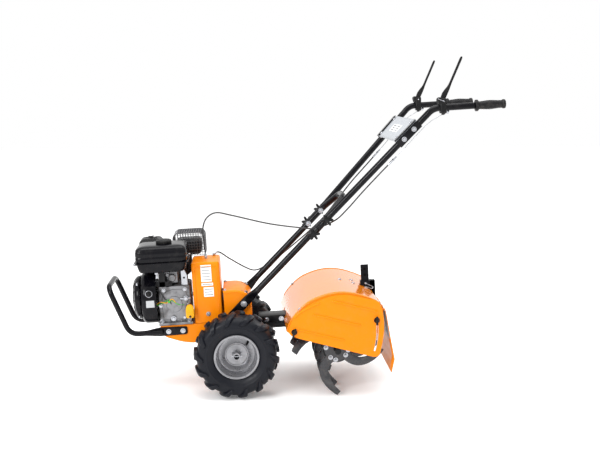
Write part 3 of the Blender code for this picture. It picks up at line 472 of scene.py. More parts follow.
MESH_WIRE = painted("mesh_wire", (0.055, 0.055, 0.06), 0.3, coat=0.3, metallic=0.6, drift=0.3, dust=0.05)
# Painted shade: a flat dull black for plugs set in holes where the inside would be in shade.
HOLE_SHADE = painted("painted_hole_shade", (0.002, 0.002, 0.002), 0.8, drift=0.05, dust=0.0, shine=0.1)
HOOD_ORANGE = painted("hood_gloss", ORANGE_PAINT, 0.18, coat=0.45, drift=0.08, dust=0.02, skin=620.0,
    relief=0.08)
BELT_RUBBER = painted("belt_rubber", (0.01, 0.01, 0.01), 0.75, shine=0.2)
CAD_FINISH = {"drive_belt": BELT_RUBBER, "crankshaft": ZINC}

# ---- studio ---------------------------------------------------------------------------
floor_mat, _, floor_shader, _ = start_material("studio_floor")
floor_shader.inputs["Base Color"].default_value = (0.97, 0.97, 0.97, 1.0)
floor_shader.inputs["Roughness"].default_value = 0.7
floor_shader.inputs["Emission Color"].default_value = (1.0, 1.0, 1.0, 1.0)
floor_shader.inputs["Emission Strength"].default_value = 0.1
bpy.context.scene.view_settings.view_transform = "Standard"
bpy.ops.mesh.primitive_plane_add(size=30.0, location=(0, 0, 0))
floor = bpy.context.object
floor.name = "studio_floor"
floor.data.materials.append(floor_mat)

world = bpy.data.worlds.new("studio")
bpy.context.scene.world = world
world.use_nodes = True
world.node_tree.nodes["Background"].inputs["Color"].default_value = (1.0, 1.0, 1.0, 1.0)
world.node_tree.nodes["Background"].inputs["Strength"].default_value = 1.0


def soft_light(name, at, target, size, power):
    """A square area light facing a point."""
    data = bpy.data.lights.new(name, "AREA")
    data.size = size
    data.energy = power
    light = bpy.data.objects.new(name, data)
    bpy.context.scene.collection.objects.link(light)
    light.location = at
    away = Vector(at) - Vector(target)
    light.rotation_euler = away.to_track_quat("Z", "Y").to_euler()


soft_light("overhead", (-0.2, -0.2, 3.2), (0, 0, 0.4), 2.6, 70)
soft_light("front_left", (-2.2, -2.6, 2.0), (-0.2, 0, 0.5), 1.2, 70)
soft_light("rear_right", (2.4, 1.8, 2.2), (0, 0, 0.5), 1.6, 30)

camera_data = bpy.data.cameras.new("camera")
camera_data.sensor_width = 36.0
camera_data.lens = 56.28
camera = bpy.data.objects.new("camera", camera_data)
bpy.context.scene.collection.objects.link(camera)
camera.location = (AXLE[0] + 0.019, -3.72, 1.179)
camera.rotation_euler = (math.radians(90 - 8.728), 0.0, math.radians(-3.678))
bpy.context.scene.camera = camera


# ---- more shapes ----------------------------------------------------------------------
def loft(rings):
    """A skin over closed rings of equal count, with its two ends closed: p = rings[i][j]."""
    rings = np.asarray(rings, float)
    rows, cols = rings.shape[:2]
    faces = grid_quads(rows, cols, False, True)
    faces += [list(range(cols)), list(range((rows - 1) * cols, rows * cols))]
    return rings.reshape(-1, 3), faces


def rounded_box(size, at, edge=0.003, steps=3, axes=None):
    """A box with rounded edges: rings of rounded corners, shrunk by cos t as they near each end.

    A ring at angle t stands at core + edge sin t, its corners' reach past the core times cos t.
    """
    half = np.asarray(size, float) / 2
    edge = min(edge, *half * 0.98)
    core = half - edge
    a = np.linspace(0, math.pi / 2, steps + 1)
    corner = [(core[0] + edge * math.cos(t), core[1] + edge * math.sin(t)) for t in a]
    rings = []
    for level, shrink in ([(-core[2] - edge * math.sin(t),
            math.cos(t)) for t in a[::-1]] + [(core[2] + edge * math.sin(t), math.cos(t)) for t in a]):
        ring = []
        for quarter, (sx, sy) in enumerate(((1, 1), (-1, 1), (-1, -1), (1, -1))):
            run = corner if quarter % 2 == 0 else corner[::-1]
            for x, y in run:
                ring.append((sx * (core[0] + (x - core[0]) * shrink),
                    sy * (core[1] + (y - core[1]) * shrink), level))
        rings.append(ring)
    points, faces = loft(rings)
    if axes is not None:
        points = points @ np.asarray(axes, float)
    return points + np.asarray(at, float), faces


def box_at(low, high, edge=0.002, steps=2):
    """A rounded box between two corners."""
    low, high = np.asarray(low, float), np.asarray(high, float)
    return rounded_box(np.abs(high - low), (low + high) / 2, edge, steps)


def rounded(corners, radius, steps=8):
    """A path whose corners are drawn as quadratic bends of about the given radius."""
    p = np.asarray(corners, float)
    radius = np.broadcast_to(radius, len(p))
    path = [p[0]]
    for i in range(1, len(p) - 1):
        back, on = unit(p[i - 1] - p[i]), unit(p[i + 1] - p[i])
        turn = math.acos(np.clip(-(back @ on), -1, 1))
        reach = radius[i] * math.tan(turn / 2)
        t = np.linspace(0, 1, steps + 1)[:, None]
        a, b = p[i] + back * reach, p[i] + on * reach
        path += list((1 - t) ** 2 * a + 2 * t * (1 - t) * p[i] + t ** 2 * b)
    return np.array(path + [p[-1]])


def smooth_path(points, steps=8):
    """A Catmull-Rom curve through the points."""
    p = np.asarray(points, float)
    p = np.concatenate([[2 * p[0] - p[1]], p, [2 * p[-1] - p[-2]]])
    t = np.linspace(0, 1, steps, endpoint=False)[:, None]
    out = [0.5 * (2 * b + (c - a) * t + (2 * a - 5 * b + 4 * c - d) * t ** 2 + (3 * b - a - 3 * c + d)
        * t ** 3) for a, b, c, d in zip(p, p[1:], p[2:], p[3:])]
    return np.concatenate(out + [p[-2:-1]])


def smooth_outline(corners, radius, steps=5):
    """A closed outline in a plane with its corners rounded, at one radius or one each."""
    p = np.asarray(corners, float)
    radius = np.broadcast_to(radius, len(p))
    out = []
    for i, corner in enumerate(p):
        back, on = p[i - 1] - corner, p[(i + 1) % len(p)] - corner
        reach = min(radius[i], 0.48 * np.linalg.norm(back), 0.48 * np.linalg.norm(on))
        a, b = corner + unit(back) * reach, corner + unit(on) * reach
        t = np.linspace(0, 1, steps + 1)[:, None]
        out += list((1 - t) ** 2 * a + 2 * t * (1 - t) * corner + t ** 2 * b)
    return np.array(out)


def hex_bolt(at, along, across=0.013, head=0.0055, stud=0.0, washer=True):
    """A bolt head seen from along: a washer, a chamfered hexagon and, if asked, its stud."""
    at, along = np.asarray(at, float), unit(along)
    r = across / math.sqrt(3)
    parts = []
    base = 0.0
    if washer:
        base = 0.0014
        parts.append(boss([(across * 0.8, -0.001), (across * 0.84, 0.0002), (across * 0.82, base)], at,
            along, 28))
    parts.append(boss([(r, base - 0.001), (r, base + head * 0.8), (r * 0.86, base + head)], at, along, 6,
        up=(0.17, 0.2, 1)))
    if stud:
        parts.append(boss([(across * 0.3, base), (across * 0.3, base + head + stud),
            (across * 0.24, base + head + stud + 0.001)], at, along, 14))
    return joined(*parts)


SIDES = ((-1, "left"), (1, "right"))

# ---- wheels -----------------------------------------------------------------------------
TRACK_HALF = 0.2
LUGS = 14
CARCASS = [(0.1555, 0.0), (0.155, 0.016), (0.1532, 0.034), (0.149, 0.049), (0.141, 0.058),
    (0.129, 0.0615), (0.118, 0.0622), (0.1165, 0.0628), (0.114, 0.0628), (0.112, 0.0618), (0.101, 0.057),
    (0.092, 0.0505), (0.0885, 0.0455), (0.087, 0.042), (0.0815, 0.04)]


def lug(angle, way, side):
    """One curved tread bar: a rounded block carried over the shoulder of the tyre.

    At fraction s it sits at angle + way * (0.02 + 0.235 s^1.5) on the carcass line.
    """
    line = smooth_path(CARCASS[:7], 6)
    at = np.linspace(1, len(line) - 5, 15)
    whole = at.astype(int)
    part = (at - whole)[:, None]
    spots = line[whole] * (1 - part) + line[whole + 1] * part
    run = np.gradient(spots, axis=0)
    out = unit(np.stack([run[:, 1], -run[:, 0]], axis=-1))
    s = np.linspace(0, 1, len(spots))
    theta = angle + way * (0.02 + 0.235 * s ** 1.5)
    height = 0.0112 * np.minimum(1, 1.15 - 0.55 * s ** 3)
    width = 0.0085 + 0.0045 * np.sin(math.pi * np.minimum(1, s * 1.15))
    section = np.array([(-1.25, -0.25), (-1.08, 0.45), (-0.97, 0.88), (-0.8, 1.0), (0.0, 1.02),
        (0.8, 1.0), (0.97, 0.88), (1.08, 0.45), (1.25, -0.25)])
    end = np.ones(len(s))
    end[[0, -1]] = 0.55, 0.35
    rise = section[None, :, 1] * (height * end)[:, None]
    across = section[None, :, 0] * (width * (0.7 + 0.3 * end))[:, None]
    r = spots[:, None, 0] + out[:, None, 0] * rise
    y = spots[:, None, 1] + out[:, None, 1] * rise
    t = theta[:, None] + across / 0.155
    return loft(np.stack([r * np.cos(t), side * y, r * np.sin(t)], axis=-1))


def tyre(side):
    """A carcass of revolution under two rows of curved lugs, set half a pitch apart."""
    line = smooth_path(CARCASS, 4)
    ring = np.concatenate([line, (line * (1, -1))[::-1][:-1]])
    parts = [closed_lathe(ring, (0, 0, 0), RIGHT, 96)]
    for i in range(LUGS):
        step = 2 * math.pi / LUGS
        parts.append(lug(i * step, 1, 1))
        parts.append(lug((i + 0.5) * step, 1, -1))
    points, faces = joined(*parts)
    return points + (0, side * TRACK_HALF, 0), faces


RIM_LINE = [(0.0104, 0.045), (0.0142, 0.045), (0.015, 0.0442), (0.015, 0.0078), (0.0165, 0.0064),
    (0.04, 0.0062), (0.0425, 0.0082), (0.0455, 0.0086), (0.048, 0.007), (0.051, 0.0052), (0.066, 0.0012),
    (0.069, 0.0016), (0.0712, 0.005), (0.0748, 0.03), (0.0772, 0.044), (0.079, 0.0478), (0.084, 0.0492),
    (0.0866, 0.0484), (0.0872, 0.0462), (0.085, 0.0446), (0.0812, 0.044), (0.0806, 0.04), (0.079, 0.032),
    (0.0735, 0.012), (0.0735, -0.012), (0.079, -0.032), (0.0806, -0.04), (0.0812, -0.044),
    (0.085, -0.0446), (0.0872, -0.0462), (0.0866, -0.0484), (0.084, -0.0492), (0.079, -0.0478),
    (0.0772, -0.044), (0.0748, -0.03), (0.0712, -0.006), (0.066, -0.003), (0.05, 0.0015),
    (0.0165, 0.0026), (0.015, 0.001), (0.015, -0.03), (0.0104, -0.03)]

for side, word in SIDES:
    make("tyre_" + word, TYRE_RUBBER, tyre(side), body="wheels", replaces=["tyre_" + word], smooth=35)
    make("rim_" + word, RIM_PAINT, closed_lathe(RIM_LINE, (0, side * TRACK_HALF, 0), (0, side, 0), 72),
        body="wheels", replaces=["rim_" + word], smooth=28)
    stem = np.array((0.047, side * (TRACK_HALF + 0.002), 0.047))
    make("valve_" + word, PLASTIC, boss([(0.0052, 0), (0.0046, 0.009), (0.004, 0.02), (0.0034, 0.021),
        (0.0034, 0.027), (0.0028, 0.0285)], stem, (-0.25, side, -0.25), 20), body="wheels")
    pin = np.array((0, side * (TRACK_HALF + 0.034), 0))
    make("hub_pin_" + word, ZINC, pipe([pin - (0.021, 0, 0), pin + (0.02, 0, 0)], 0.0029, 14),
        turned([(0, 0), (0.0054, 0), (0.0054, 0.002), (0, 0.003)], pin + (0.019, 0, 0), AFT, 18),
        body="wheels")
reach = TRACK_HALF + 0.019
make("axle", SATIN_BLACK_AND_HOLE_SHADE, boss([(0.0085, -reach - 0.001), (0.0098, -reach), (0.0098, reach),
    (0.0085, reach + 0.001)], (0, 0, 0), RIGHT, 28), body="wheels", replaces=["wheel_axle"])

# ---- bumper and engine base ---------------------------------------------------------------
BUMPER_R, BUMPER_HALF, STRAP_FACE = 0.0105, 0.1125, 0.1066
corners = [(-0.285, -BUMPER_HALF, 0.084), (-0.412, -BUMPER_HALF, 0.084), (-0.482, -BUMPER_HALF, 0.275),
    (-0.482, BUMPER_HALF, 0.275), (-0.412, BUMPER_HALF, 0.084), (-0.285, BUMPER_HALF, 0.084)]


def flattened(side):
    """The tube's pressed end: a circle that turns into the strap's flat section.

    Section at s: half height (1 - s) 0.0105 + s 0.0172, half width (1 - s) 0.0105 + s 0.0023.
    """
    rings = []
    t = around(32)
    for s in np.linspace(0, 1, 10):
        f = s * s * (3 - 2 * s)
        c, z = squircle(t, 2 + 6 * f)
        wide, tall = 0.0105 * (1 - f) + 0.0023 * f, 0.0107 * (1 - f) + 0.0172 * f
        middle = BUMPER_HALF * (1 - f) + 0.1043 * f
        rings.append(np.stack([np.full(32, -0.352 + 0.06 * s), side * middle + wide * c,
            0.084 + tall * z], axis=-1))
    return loft(rings)


shapes = [pipe(rounded(corners, (0, 0.052, 0.046, 0.046, 0.052, 0), 12), BUMPER_R, 24)]
for side, word in SIDES:
    outline = smooth_outline([(-0.305, 0.066), (-0.188, 0.068), (-0.188, 0.1), (-0.305, 0.102)], 0.01)
    low, high = sorted((side * 0.102, side * STRAP_FACE))
    shapes.append(slab(outline, -high, -low, 0.0012, 2, "xz"))
    shapes.append(flattened(side))
make("bumper_tube", ENAMEL, *shapes, replaces=["bumper"])
for side, word in SIDES:
    make("bumper_bolts_" + word, ZINC, *(hex_bolt((x, side * STRAP_FACE, 0.083), (0, side, 0), 0.012,
        0.005) for x in (-0.262, -0.206)))


def thicken(obj, thickness, offset=-1.0):
    """Sheet metal from an open surface."""
    mod = obj.modifiers.new("sheet", "SOLIDIFY")
    mod.thickness = thickness
    mod.offset = offset
    mod.use_even_offset = True
    return obj


# The base is a channel with its side plates cut to a boat shape under the belt guard.
side_line = smooth_outline([(-0.293, 0.1052), (-0.0445, 0.1052), (-0.0445, 0.045), (-0.11, 0.03),
    (-0.194, 0.031), (-0.275, 0.061), (-0.293, 0.082)], (0.001, 0.001, 0.006, 0.03, 0.04, 0.02, 0.008))
shapes = [slab(side_line, -0.1015, -0.0995, 0.0006, 1), slab(side_line, 0.0995, 0.1015, 0.0006, 1),
    box_at((-0.293, -0.1014, 0.1036), (-0.0445, 0.1014, 0.1056), 0.0009)]
for y in (-0.0985, 0.0985):
    rim_path = [(x, y, z) for x, z in side_line[6:]]
    shapes.append(pipe(rim_path, 0.0016, 10))
make("engine_base", ORANGE, *shapes, replaces=["engine_base"], smooth=35)

# ---- belt guard ----------------------------------------------------------------------------
GUARD = (-0.157, -0.047, -0.1, 0.106, 0.1078, 0.349)
FRONT, BACK, NEAR, FAR, FOOT, TOP = GUARD


def guard_shell():
    """A deep box, open below: an outline in the end view carried along x with dished corners.

    Ring at x: the outline inset by e(x), where e = r (1 - sqrt(1 - d^2)) for d the fraction of
    the way through the edge radius r.
    """
    line = smooth_outline([(NEAR, FOOT - 0.03), (FAR, FOOT - 0.03), (FAR, TOP), (NEAR, TOP)],
        (0.001, 0.001, 0.055, 0.006), 10)
    edge = 0.009
    rings = []
    for t in np.linspace(math.pi / 2, 0, 6):
        rings.append((FRONT + edge * (1 - math.sin(t)), edge * (1 - math.cos(t))))
    rings += [(BACK + FRONT - x, e) for x, e in rings[::-1]]
    rows = []
    for x, e in rings:
        ring = inset(line, e)
        ring[:, 1] = np.maximum(ring[:, 1], FOOT)
        rows.append([(x, y, z) for y, z in ring])
    return loft(rows)


make("belt_guard", ORANGE, guard_shell(), replaces=["belt_guard"], smooth=35)
make("guard_bolts", ZINC, hex_bolt((-0.102, -0.1002, 0.142), LEFT, 0.011, 0.0045),
    hex_bolt((-0.102, 0.1062, 0.142), RIGHT, 0.012, 0.005), hex_bolt((-0.102, 0.1062, 0.32), RIGHT, 0.012,
    0.005))
groove = rounded([(FRONT + 0.012, NEAR - 0.0003, 0.128), (FRONT + 0.012, NEAR - 0.0003, 0.332),
    (BACK - 0.012, NEAR - 0.0003, 0.332), (BACK - 0.012, NEAR - 0.0003, 0.128)], (0, 0.014, 0.014, 0), 6)
make("guard_swage", ORANGE, pipe(groove, 0.0016, 12))


def blank_label(name, x0, x1, z0, z1, lines, material):
    """A sticker with no lettering: a thin plate and a few plain bars where the print would be."""
    y = NEAR - 0.0007
    make(name, material, box_at((x0, y - 0.0005, z0), (x1, y + 0.001, z1), 0.0005, 1))
    bars = []
    for k in range(lines):
        z = z1 - (k + 0.7) * (z1 - z0) / (lines + 0.4)
        bars.append(box_at((x0 + 0.003, y - 0.0008, z - 0.0012), (x1 - 0.003 - 0.004 * (k % 2), y,
            z + 0.0012), 0.0003, 1))
    make(name + "_bars", LABEL_INK, *bars)


blank_label("label_top", -0.121, -0.08, 0.271, 0.338, 5, LABEL)
blank_label("label_middle", -0.121, -0.076, 0.255, 0.2665, 1, LABEL)
blank_label("label_low", -0.114, -0.075, 0.211, 0.249, 3, LABEL)

# ---- gearbox and its cover --------------------------------------------------------------
COVER_TOP = [(-0.04, 0.229), (-0.018, 0.23), (0.003, 0.23), (0.016, 0.229), (0.03, 0.2255),
    (0.042, 0.2205), (0.053, 0.213), (0.062, 0.2035), (0.0675, 0.1945), (0.07, 0.182), (0.07, 0.14),
    (0.07, 0.095)]
COVER_HALF = 0.1


def cover_shell():
    """The gearbox cover: its top line carried across, the corner to each side wall rounded."""
    line = smooth_path([(x, 0, z) for x, z in COVER_TOP], 3)[:, [0, 2]]
    run = np.gradient(line, axis=0)
    out = unit(np.stack([-run[:, 1], run[:, 0]], axis=-1))
    t = np.linspace(0, math.pi / 2, 6)
    bend = 0.007
    rows = []
    for q, n in zip(line, out):
        half = [(q[0] - n[0] * bend * (1 - math.sin(a)), -COVER_HALF + bend * (1 - math.cos(a)),
            q[1] - n[1] * bend * (1 - math.sin(a))) for a in t]
        rows.append(half + [(x, -y, z) for x, y, z in half[::-1]])
    rows = np.asarray(rows)
    return rows.reshape(-1, 3), grid_quads(rows.shape[0], rows.shape[1], False, False)


thicken(make("cover_web", ORANGE, cover_shell(), replaces=["transmission_cover"], smooth=35), 0.0015)
cheek = np.array(COVER_TOP[:-1] + [(0.07, 0.06), (-0.04, 0.06)])
middle = np.array([(0.01, 0.15)])
for side, word in SIDES:
    shrunk = middle + (cheek - middle) * 0.965
    outer = side * COVER_HALF
    low, high = sorted((-outer, -outer + side * 0.0016))
    make("cover_cheek_" + word, ORANGE, slab(shrunk[::-1], low, high, 0.0005, 1))
    line = smooth_path([(x, outer, z) for x, z in (middle + (cheek[:-1] - middle) * 0.9)], 4)
    make("cover_swage_" + word, ORANGE, pipe(line, 0.0019, 12))
    make("cover_bolts_" + word, ZINC, hex_bolt((0.05, side * 0.08, 0.215), (0.6, 0, 0.8), 0.012, 0.005),
        hex_bolt((-0.033, side * 0.086, 0.2294), UP, 0.01, 0.004), hex_bolt((0.06, side * COVER_HALF,
        0.088), (0, side, 0), 0.01, 0.004))
    # Painted shade: a satin black ring on the cover top stands in for the shaded gap of a hole.
    make("cover_hole_shade_" + word, SATIN_BLACK_AND_HOLE_SHADE, closed_lathe([(0.0034, 0), (0.0052, 0), (0.0052, 0.0007),
        (0.0034, 0.0007)], (0.0365, side * 0.082, 0.2228), (0.45, 0, 0.89), 24))

shapes = [box_at((-0.0315, -0.054, -0.03), (0.0475, 0.074, 0.2), 0.008, 4),
    box_at((-0.0315, -0.054, 0.15), (0.027, 0.074, 0.217), 0.008, 4),
    boss([(0.034, -0.053), (0.037, -0.045), (0.037, 0.065), (0.034, 0.073)], (0.012, 0, -0.004), RIGHT,
    48), boss([(0.022, 0.073), (0.021, 0.09), (0.016, 0.094)], (0, 0, 0), RIGHT, 36),
    boss([(0.022, 0.053), (0.021, 0.09), (0.016, 0.094)], (0, 0, 0), LEFT, 36)]
for z in (0.02, 0.07, 0.12, 0.17):
    shapes.append(box_at((-0.034, -0.057, z), (0.06, 0.077, z + 0.005), 0.002))
make("gearbox", IRON, *shapes, replaces=["gearbox_housing"])
make("gearbox_bolts", ZINC, *(hex_bolt((x, y * 1.0, z), (0, math.copysign(1, y), 0), 0.01,
    0.004) for y in (-0.0545, 0.0745) for x, z in ((-0.022, 0.045), (0.048, 0.045), (-0.022, 0.1))))

# ---- engine: crankcase, cylinder and head -----------------------------------------------
CASE_X, CASE_Y = (-0.2965, -0.166), (-0.095, 0.042)


def crankcase():
    """The casting: a rounded block on a foot, a side cover with its flange, ribs and bosses."""
    x0, x1 = CASE_X
    y0, y1 = CASE_Y
    parts = [box_at((x0, y0 + 0.006, 0.112), (x1, y1, 0.262), 0.009, 4),
        box_at((x0 - 0.001, -0.108, 0.1073), (x1 + 0.003, 0.085, 0.1183), 0.003, 3)]
    flange = smooth_outline([(x0 + 0.004, 0.116), (x1 - 0.003, 0.116), (x1 - 0.003, 0.25),
        (x1 - 0.03, 0.261), (x0 + 0.04, 0.261), (x0 + 0.004, 0.24)], 0.02)
    parts.append(slab(flange, -(y0 + 0.01), -y0, 0.002, 3))
    raised = smooth_outline([(x0 + 0.016, 0.128), (x1 - 0.015, 0.128), (x1 - 0.015, 0.236),
        (x1 - 0.036, 0.248), (x0 + 0.046, 0.248), (x0 + 0.016, 0.226)], 0.018)
    parts.append(slab(raised, -(y0 + 0.002), -(y0 - 0.004), 0.003, 3))
    for x in np.linspace(x0 + 0.02, x1 - 0.02, 5):
        parts.append(box_at((x - 0.0016, y0 - 0.009, 0.112), (x + 0.0016, y0 + 0.008, 0.127), 0.0012))
    for x, z in ((x0 + 0.011, 0.124), (x1 - 0.01, 0.124), (x1 - 0.01, 0.186), (x0 + 0.011, 0.186),
            (x0 + 0.026, 0.247), (x1 - 0.022, 0.247)):
        parts.append(boss([(0.0068, -0.006), (0.006, 0.0022)], (x, y0, z), LEFT, 20))
    neck = np.array((x1 - 0.012, y0, 0.16))
    parts.append(boss([(0.015, -0.004), (0.0132, 0.012)], neck, LEFT, 28))
    parts.append(boss([(0.034, -0.002), (0.031, 0.004), (0.026, 0.0048)], (-0.232, y0 - 0.003, 0.19),
        LEFT, 48))
    for turn in range(6):
        a = turn * math.pi / 3 + 0.3
        tip = np.array((-0.232 + 0.028 * math.cos(a), y0 - 0.0065, 0.19 + 0.028 * math.sin(a)))
        hub = np.array((-0.232 + 0.01 * math.cos(a), y0 - 0.0065, 0.19 + 0.01 * math.sin(a)))
        parts.append(pipe([hub, tip], 0.0016, 10, 0.001))
    return joined(*parts)


make("crankcase_casting", ALUMINIUM, crankcase(), replaces=["crankcase"], smooth=35)
x0, x1 = CASE_X
y0 = CASE_Y[0]
make("crankcase_bolts", ZINC, *(hex_bolt((x, y0 - 0.0022, z), LEFT, 0.009, 0.0045) for x,
    z in ((x0 + 0.011, 0.124), (x1 - 0.01, 0.124), (x1 - 0.01, 0.186), (x0 + 0.011, 0.186),
    (x0 + 0.026, 0.247), (x1 - 0.022, 0.247))), hex_bolt((x0 + 0.058, y0 - 0.009, 0.134), LEFT, 0.012,
    0.006), hex_bolt((x1 - 0.03, y0 + 0.002, 0.134), LEFT, 0.011, 0.006))
make("engine_foot_bolts", ZINC, *(hex_bolt((x, y, 0.1183), UP, 0.013, 0.006) for x in (x0 + 0.012,
    x1 - 0.01) for y in (-0.101, 0.076)))

CYLINDER = unit((0.0, math.cos(math.radians(25)), math.sin(math.radians(25))))
BORE_AT = np.array((-0.232, -0.035, 0.213))
ACROSS = basis(CYLINDER, AFT)


def fin(height, half, thick, corner):
    """A rounded square cooling fin at a height up the cylinder."""
    line = smooth_outline([(-half, -half), (half, -half), (half, half), (-half, half)], corner)
    points, faces = slab(line, height, height + thick, 0.0006, 1, "xy")
    return BORE_AT + points @ ACROSS, faces


shapes = [boss([(0.039, 0.05), (0.039, 0.126)], BORE_AT, CYLINDER, 48)]
shapes += [fin(h, 0.0445, 0.0022, 0.014) for h in np.arange(0.0635, 0.12, 0.0075)]
make("cylinder_fins", ALUMINIUM, *shapes, replaces=["cylinder"])
shapes = [rounded_box((0.082, 0.082, 0.038), BORE_AT + CYLINDER * 0.1445, 0.008, 3, ACROSS)]
shapes += [fin(h, 0.0465, 0.0022, 0.01) for h in np.arange(0.1275, 0.16, 0.0065)]
make("head_fins", ALUMINIUM, *shapes, replaces=["cylinder_head"])
cover = BORE_AT + CYLINDER * 0.1755
shapes = [rounded_box((0.068, 0.076, 0.026), cover, 0.009, 4, ACROSS),
    rounded_box((0.074, 0.082, 0.004), cover - CYLINDER * 0.01, 0.0018, 2, ACROSS)]
make("rocker_cover", ENAMEL, *shapes, smooth=35)
make("rocker_bolts", ZINC, *(hex_bolt(cover + CYLINDER * 0.0125 + np.array((a, b, 0)) @ ACROSS, CYLINDER,
    0.009, 0.004) for a in (-0.022, 0.022) for b in (-0.026, 0.026)))
plug = BORE_AT + CYLINDER * 0.15 + np.array((0, -0.03, 0)) @ ACROSS
away = unit(CYLINDER * 0.5 + np.array(LEFT) @ ACROSS)
make("spark_plug", CERAMIC, boss([(0.006, -0.004), (0.006, 0.018), (0.0048, 0.02), (0.0042, 0.03)], plug,
    away, 24))
make("plug_cap", GRIP_RUBBER, boss([(0.0085, 0.02), (0.0088, 0.036), (0.007, 0.043)], plug, away, 24))
tip = plug + away * 0.04
make("plug_lead", CABLE, pipe(smooth_path([tip, tip + (-0.02, 0.01, 0.0), (-0.285, 0.066, 0.236),
    (-0.298, 0.03, 0.25)]), 0.0032, 14, 0.001))

# ---- engine: fan shroud and recoil starter ----------------------------------------------
CRANK_AT = np.array((0.0, -0.035, 0.213))


def shroud_ring(x, radius, foot, squared):
    """The shroud's outline at x: a circle whose lower half runs down to a squared foot.

    Superellipse |y/r|^n + |z/r|^n = 1, with n growing from 2 above to the given power below.
    """
    t = around(96)
    y, z = squircle(t, 2 + squared * np.clip(-np.sin(t), 0, 1))
    return np.stack([np.full(96, x), CRANK_AT[1] + radius * y, np.maximum(CRANK_AT[2] + radius * z,
        foot)], axis=-1)


a = np.linspace(0, math.pi / 2, 7)
rings = [shroud_ring(-0.2987, 0.0985, 0.1195, 1.2), shroud_ring(-0.302, 0.0998, 0.119, 1.2)]
rings += [shroud_ring(-0.34 - 0.02 * math.sin(t), 0.0998 - 0.018 * (1 - math.cos(t)), 0.119,
    1.2 * math.cos(t)) for t in a]
rings += [shroud_ring(-0.3602, 0.062, 0.119, 0.0)]
make("fan_shroud_shell", ENAMEL, loft(rings), replaces=["fan_shroud"], smooth=45)
RECOIL = [(0, 0.0), (0.0835, 0.0), (0.0855, 0.002), (0.0858, 0.009), (0.0835, 0.0155), (0.077, 0.0215),
    (0.064, 0.0268), (0.048, 0.03), (0.046, 0.0318), (0.03, 0.0338), (0.0285, 0.0352), (0, 0.0352)]
make("recoil_cover", ENAMEL, turned(smooth_path([(r, 0, h) for r, h in RECOIL], 3)[:, [0, 2]],
    (-0.3615, CRANK_AT[1], CRANK_AT[2]), FORE, 96), replaces=["recoil_starter"], smooth=40)


def starter_vents():
    """Slots round the starter's face: twelve long ones between two circles."""
    parts = []
    for i in range(12):
        t = 2 * math.pi * i / 12
        way = np.array((0, math.cos(t), math.sin(t)))
        start = np.array((-0.3905, CRANK_AT[1], CRANK_AT[2])) + way * 0.05
        end = np.array((-0.3815, CRANK_AT[1], CRANK_AT[2])) + way * 0.075
        parts.append(pipe([start, (start + end) / 2 - (0.0022, 0, 0), end], 0.0036, 12, 0.002))
    return joined(*parts)


make("starter_vents", SATIN_BLACK_AND_HOLE_SHADE, starter_vents())
make("starter_badge", LABEL_AND_SHADE_GREY, boss([(0.0235, 0), (0.0235, 0.0008), (0.0225, 0.0014)],
    (-0.3964, CRANK_AT[1], CRANK_AT[2]), FORE, 48))
make("starter_bolts", ZINC, *(hex_bolt((-0.37, CRANK_AT[1] + 0.0905 * math.cos(t),
    CRANK_AT[2] + 0.0905 * math.sin(t)), FORE, 0.009, 0.004) for t in (0.8, 2.34, 3.94)))
make("shroud_plate", LABEL_AND_SHADE_GREY, box_at((-0.3385, -0.135, 0.19), (-0.306, -0.128, 0.218), 0.0008, 1))

GRIP_AXIS = unit((0.0, 0.966, 0.259))
GRIP_AT = np.array((-0.33, 0.086, 0.27))
make("starter_grip", GRIP_RUBBER, rounded_box((0.04, 0.014, 0.018), GRIP_AT, 0.0068, 4,
    basis(GRIP_AXIS, UP)), body="starter_grip", replaces=["recoil_grip"])
make("starter_ferrule", PLASTIC, boss([(0.0058, -0.002), (0.0058, 0.003)], GRIP_AT - GRIP_AXIS * 0.0125,
    GRIP_AXIS, 24))
SWITCH_AT = np.array((-0.325, -0.1353, 0.245))
make("switch_knob", PLASTIC, boss([(0.0118, 0.0), (0.012, 0.003), (0.0108, 0.0045)], SWITCH_AT, LEFT, 32),
    box_at(SWITCH_AT + (-0.003, -0.011, -0.0098), SWITCH_AT + (0.003, -0.003, 0.0098), 0.0022),
    body="switch", replaces=["engine_switch"])
make("switch_bezel", ZINC, closed_lathe([(0.0122, 0.0002), (0.014, 0.0002), (0.0136, 0.0022),
    (0.0122, 0.0026)], SWITCH_AT, LEFT, 36))

# ---- tank, filler cap and air cleaner ---------------------------------------------------
TANK_LOW, TANK_HIGH = np.array((-0.365, -0.17, 0.328)), np.array((-0.166, -0.005, 0.434))
TANK_MID = (TANK_LOW + TANK_HIGH) / 2
TANK_HALF = (TANK_HIGH - TANK_LOW) / 2


def tank_ring(z, inward, power):
    """The tank's outline at a height: a superellipse box drawn in from its sides."""
    x, y = squircle(around(112), power)
    return np.stack([TANK_MID[0] + (TANK_HALF[0] - inward) * x, TANK_MID[1] + (TANK_HALF[1] - inward) * y,
        np.full(112, z)], axis=-1)


# Heights and insets of the pressing, from the sump up over the two creases to the crown.
TANK_LEVELS = [(0.328, 0.06), (0.3282, 0.03), (0.33, 0.018), (0.334, 0.0125), (0.34, 0.0095),
    (0.356, 0.0055), (0.364, 0.004), (0.3655, 0.0034), (0.3695, 0.003), (0.372, 0.0018), (0.385, 0.0004),
    (0.3905, 0.0004), (0.3925, 0.0018), (0.3945, 0.0018), (0.3965, 0.0004), (0.412, 0.0012),
    (0.415, 0.0026), (0.417, 0.0026), (0.419, 0.0022), (0.424, 0.0055), (0.428, 0.0105), (0.431, 0.0175),
    (0.433, 0.028), (0.434, 0.042), (0.434, 0.07)]
make("tank_shell", ENAMEL, loft([tank_ring(z, e, 11) for z, e in TANK_LEVELS]), replaces=["fuel_tank"],
    smooth=50)
seam = smooth_outline([(TANK_LOW[0] - 0.008, TANK_LOW[1] - 0.0045),
    (TANK_HIGH[0] + 0.0035, TANK_LOW[1] - 0.0045), (TANK_HIGH[0] + 0.0035, TANK_HIGH[1] + 0.0055),
    (TANK_LOW[0] - 0.008, TANK_HIGH[1] + 0.0055)], 0.016)
